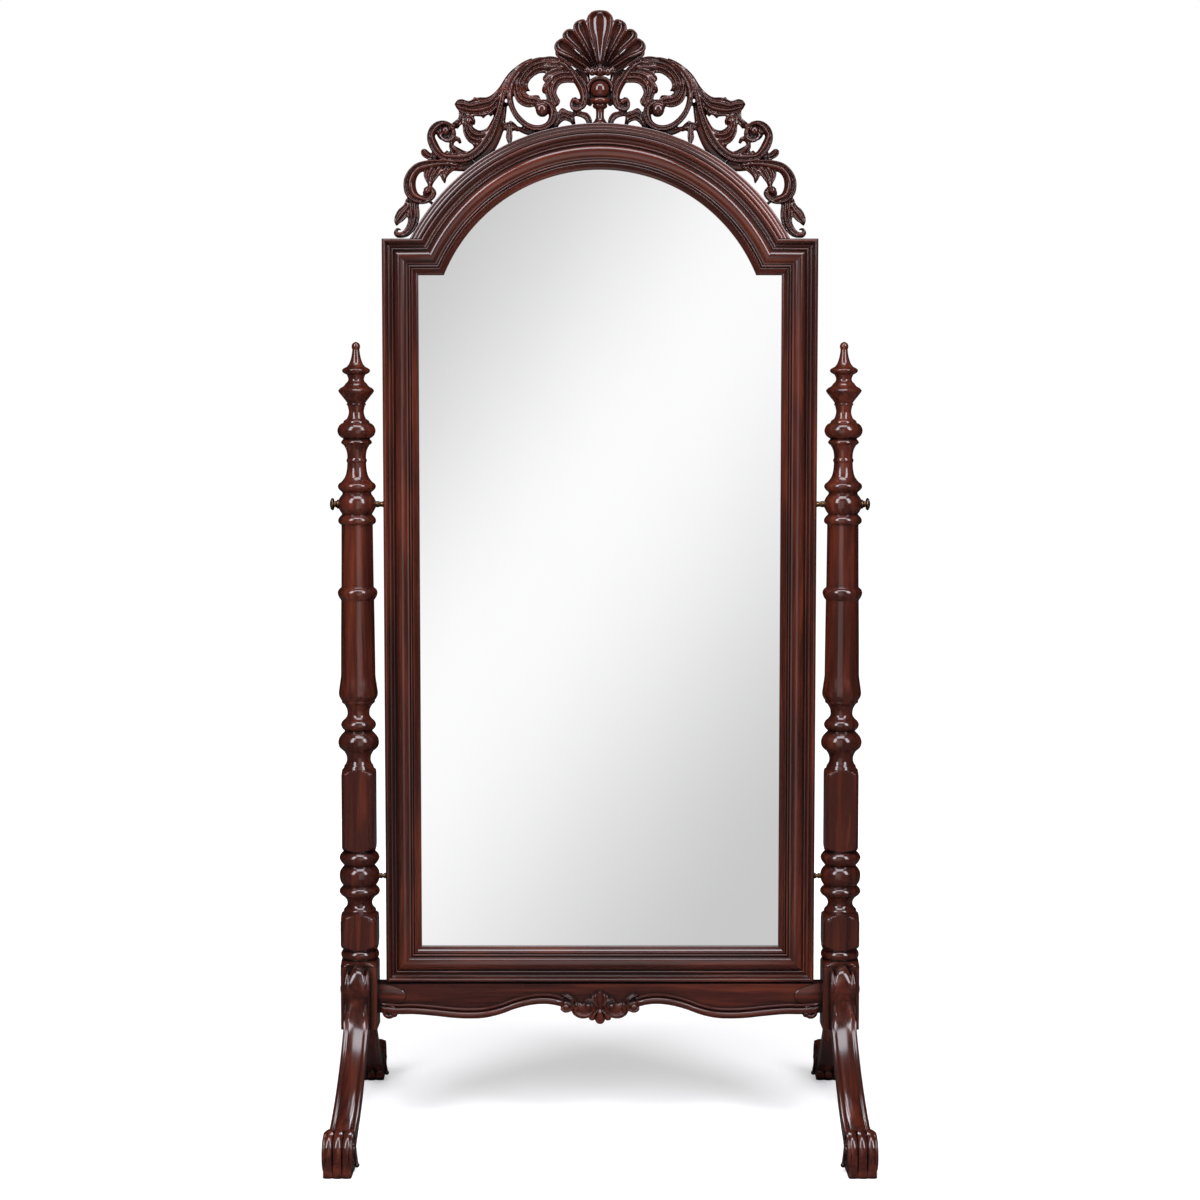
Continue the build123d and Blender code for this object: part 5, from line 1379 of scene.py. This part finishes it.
def stage_object(name, corners, material):
    mesh = bpy.data.meshes.new(name)
    mesh.from_pydata(corners, [], [(0, 1, 2, 3)])
    mesh.materials.append(material)
    piece = place_object(name, mesh)
    return piece


def make_floor():
    """White paper that brightens with distance to meet the backdrop, and is dark to the polish."""
    paper = Finish("paper_floor")
    path = paper.add("ShaderNodeLightPath", {}, {})
    fibre = paper.noise(paper.place(), 3.0, 3.0, 0.5)
    colour = paper.ramp(fibre, [(0.3, PAPER_SHADE), (0.7, PAPER_WHITE)])
    colour = paper.blend(path["Is Glossy Ray"], colour, FLOOR_IN_POLISH)
    matt = paper.add("ShaderNodeBsdfDiffuse", {}, {"Color": colour})["BSDF"]
    camera_ray = path["Is Camera Ray"]
    seen = camera_ray.maths("MAXIMUM", camera_ray, path["Is Transmission Ray"])
    x, y, _ = paper.place_parts()
    reach = (x * x + y * y) ** 0.5
    rise = reach.maths("MINIMUM", reach * 0.13 + 0.25, 0.96)
    glow = paper.add("ShaderNodeEmission", {}, {"Strength": seen * rise})["Emission"]
    paper.shown(paper.add("ShaderNodeAddShader", {}, {0: matt, 1: glow})["Shader"])
    far = FLOOR_REACH
    stage_object("floor", [(-far, -far, 0), (far, -far, 0), (far, far, 0), (-far, far, 0)], paper.material)


def make_world():
    """White to the camera, soft light on the object, and a dim studio in its polish."""
    studio = Finish.for_world("studio")
    path = studio.add("ShaderNodeLightPath", {}, {})
    light = studio.blend(path["Is Glossy Ray"], WORLD_LIGHT, WORLD_IN_POLISH)
    light = studio.blend(path["Is Camera Ray"], light, BACKDROP)
    sky = studio.add("ShaderNodeBackground", {}, {"Color": light})["Background"]
    bpy.context.scene.world = studio.shown(sky)


def make_softbox(name, place, aim, size, watts, colour, in_polish):
    light = bpy.data.lights.new(name, "AREA")
    light.shape = "RECTANGLE"
    light.size, light.size_y = size
    light.energy = watts
    light.color = colour
    lamp = place_object(name, light)
    lamp.location = place
    lamp.rotation_euler = (Vector(aim) - Vector(place)).to_track_quat("-Z", "Y").to_euler()
    lamp.visible_glossy = in_polish


def make_reflector():
    """A card that only the glass shows: a bright diagonal band that fades to grey on both sides."""
    card = Finish("reflector_card")
    x, _, z = card.place_parts()
    across = x * 0.81 - z * 0.587 + 0.617
    level = 1.03 - (across.fade(0.0, 0.85) + (0.0 - across).fade(0.0, 0.70)) * 0.42
    card.shown(card.add("ShaderNodeEmission", {}, {"Strength": level})["Emission"])
    corners = [(-CARD_HALF, CARD_Y, CARD_FOOT), (CARD_HALF, CARD_Y, CARD_FOOT),
               (CARD_HALF, CARD_Y, CARD_HEAD), (-CARD_HALF, CARD_Y, CARD_HEAD)]
    piece = stage_object("reflector", corners, card.material)
    piece.visible_camera = False
    piece.visible_diffuse = False
    piece.visible_shadow = False
    piece.visible_transmission = False


def make_camera():
    camera = bpy.data.cameras.new("camera")
    camera.sensor_width = 36.0
    camera.lens = CAMERA_LENS
    camera.clip_end = 200.0
    stand = place_object("camera", camera)
    stand.location = CAMERA_PLACE
    stand.rotation_euler = (math.radians(CAMERA_TILT), 0.0, 0.0)
    bpy.context.scene.camera = stand


def main():
    bpy.context.scene.view_settings.view_transform = "Standard"
    upright = polished_wood("mahogany_upright", "z")
    level = polished_wood("mahogany_level", "x")
    bent = polished_wood("mahogany_bent", "bent")
    carved = polished_wood("mahogany_carved", "x", figure_share=0.6, painted_shade_from=0.20, painted_shade_to=0.90)
    legs = polished_wood("mahogany_legs", "leg")
    brass = aged_brass()
    steel = zinc_steel()
    board = plain_wood("stained_board", "z", BOARD_STAIN)
    pale = plain_wood("pale_joinery", "x", PALE_TIMBER)
    make_posts(upright)
    make_legs(legs)
    make_frame(upright, level, bent)
    make_apron(carved, level)
    make_crest(carved)
    make_brass(brass)
    make_board_screws(steel)
    dress_nodes({
        "stretcher_rail": level, "mirror_glass": silvered_glass(), "backboard": board,
        "leg_dowels": pale, "mitre_tongues": pale, "crest_dowels": carved, "glazing_blocks": pale,
        "stretcher_bolts": steel, "barrel_nuts": steel,
        "pivot_insert_left": brass, "pivot_insert_right": brass})
    make_floor()
    make_world()
    make_reflector()
    for name, settings in SOFTBOXES.items():
        make_softbox(name, *settings)
    make_camera()


main()
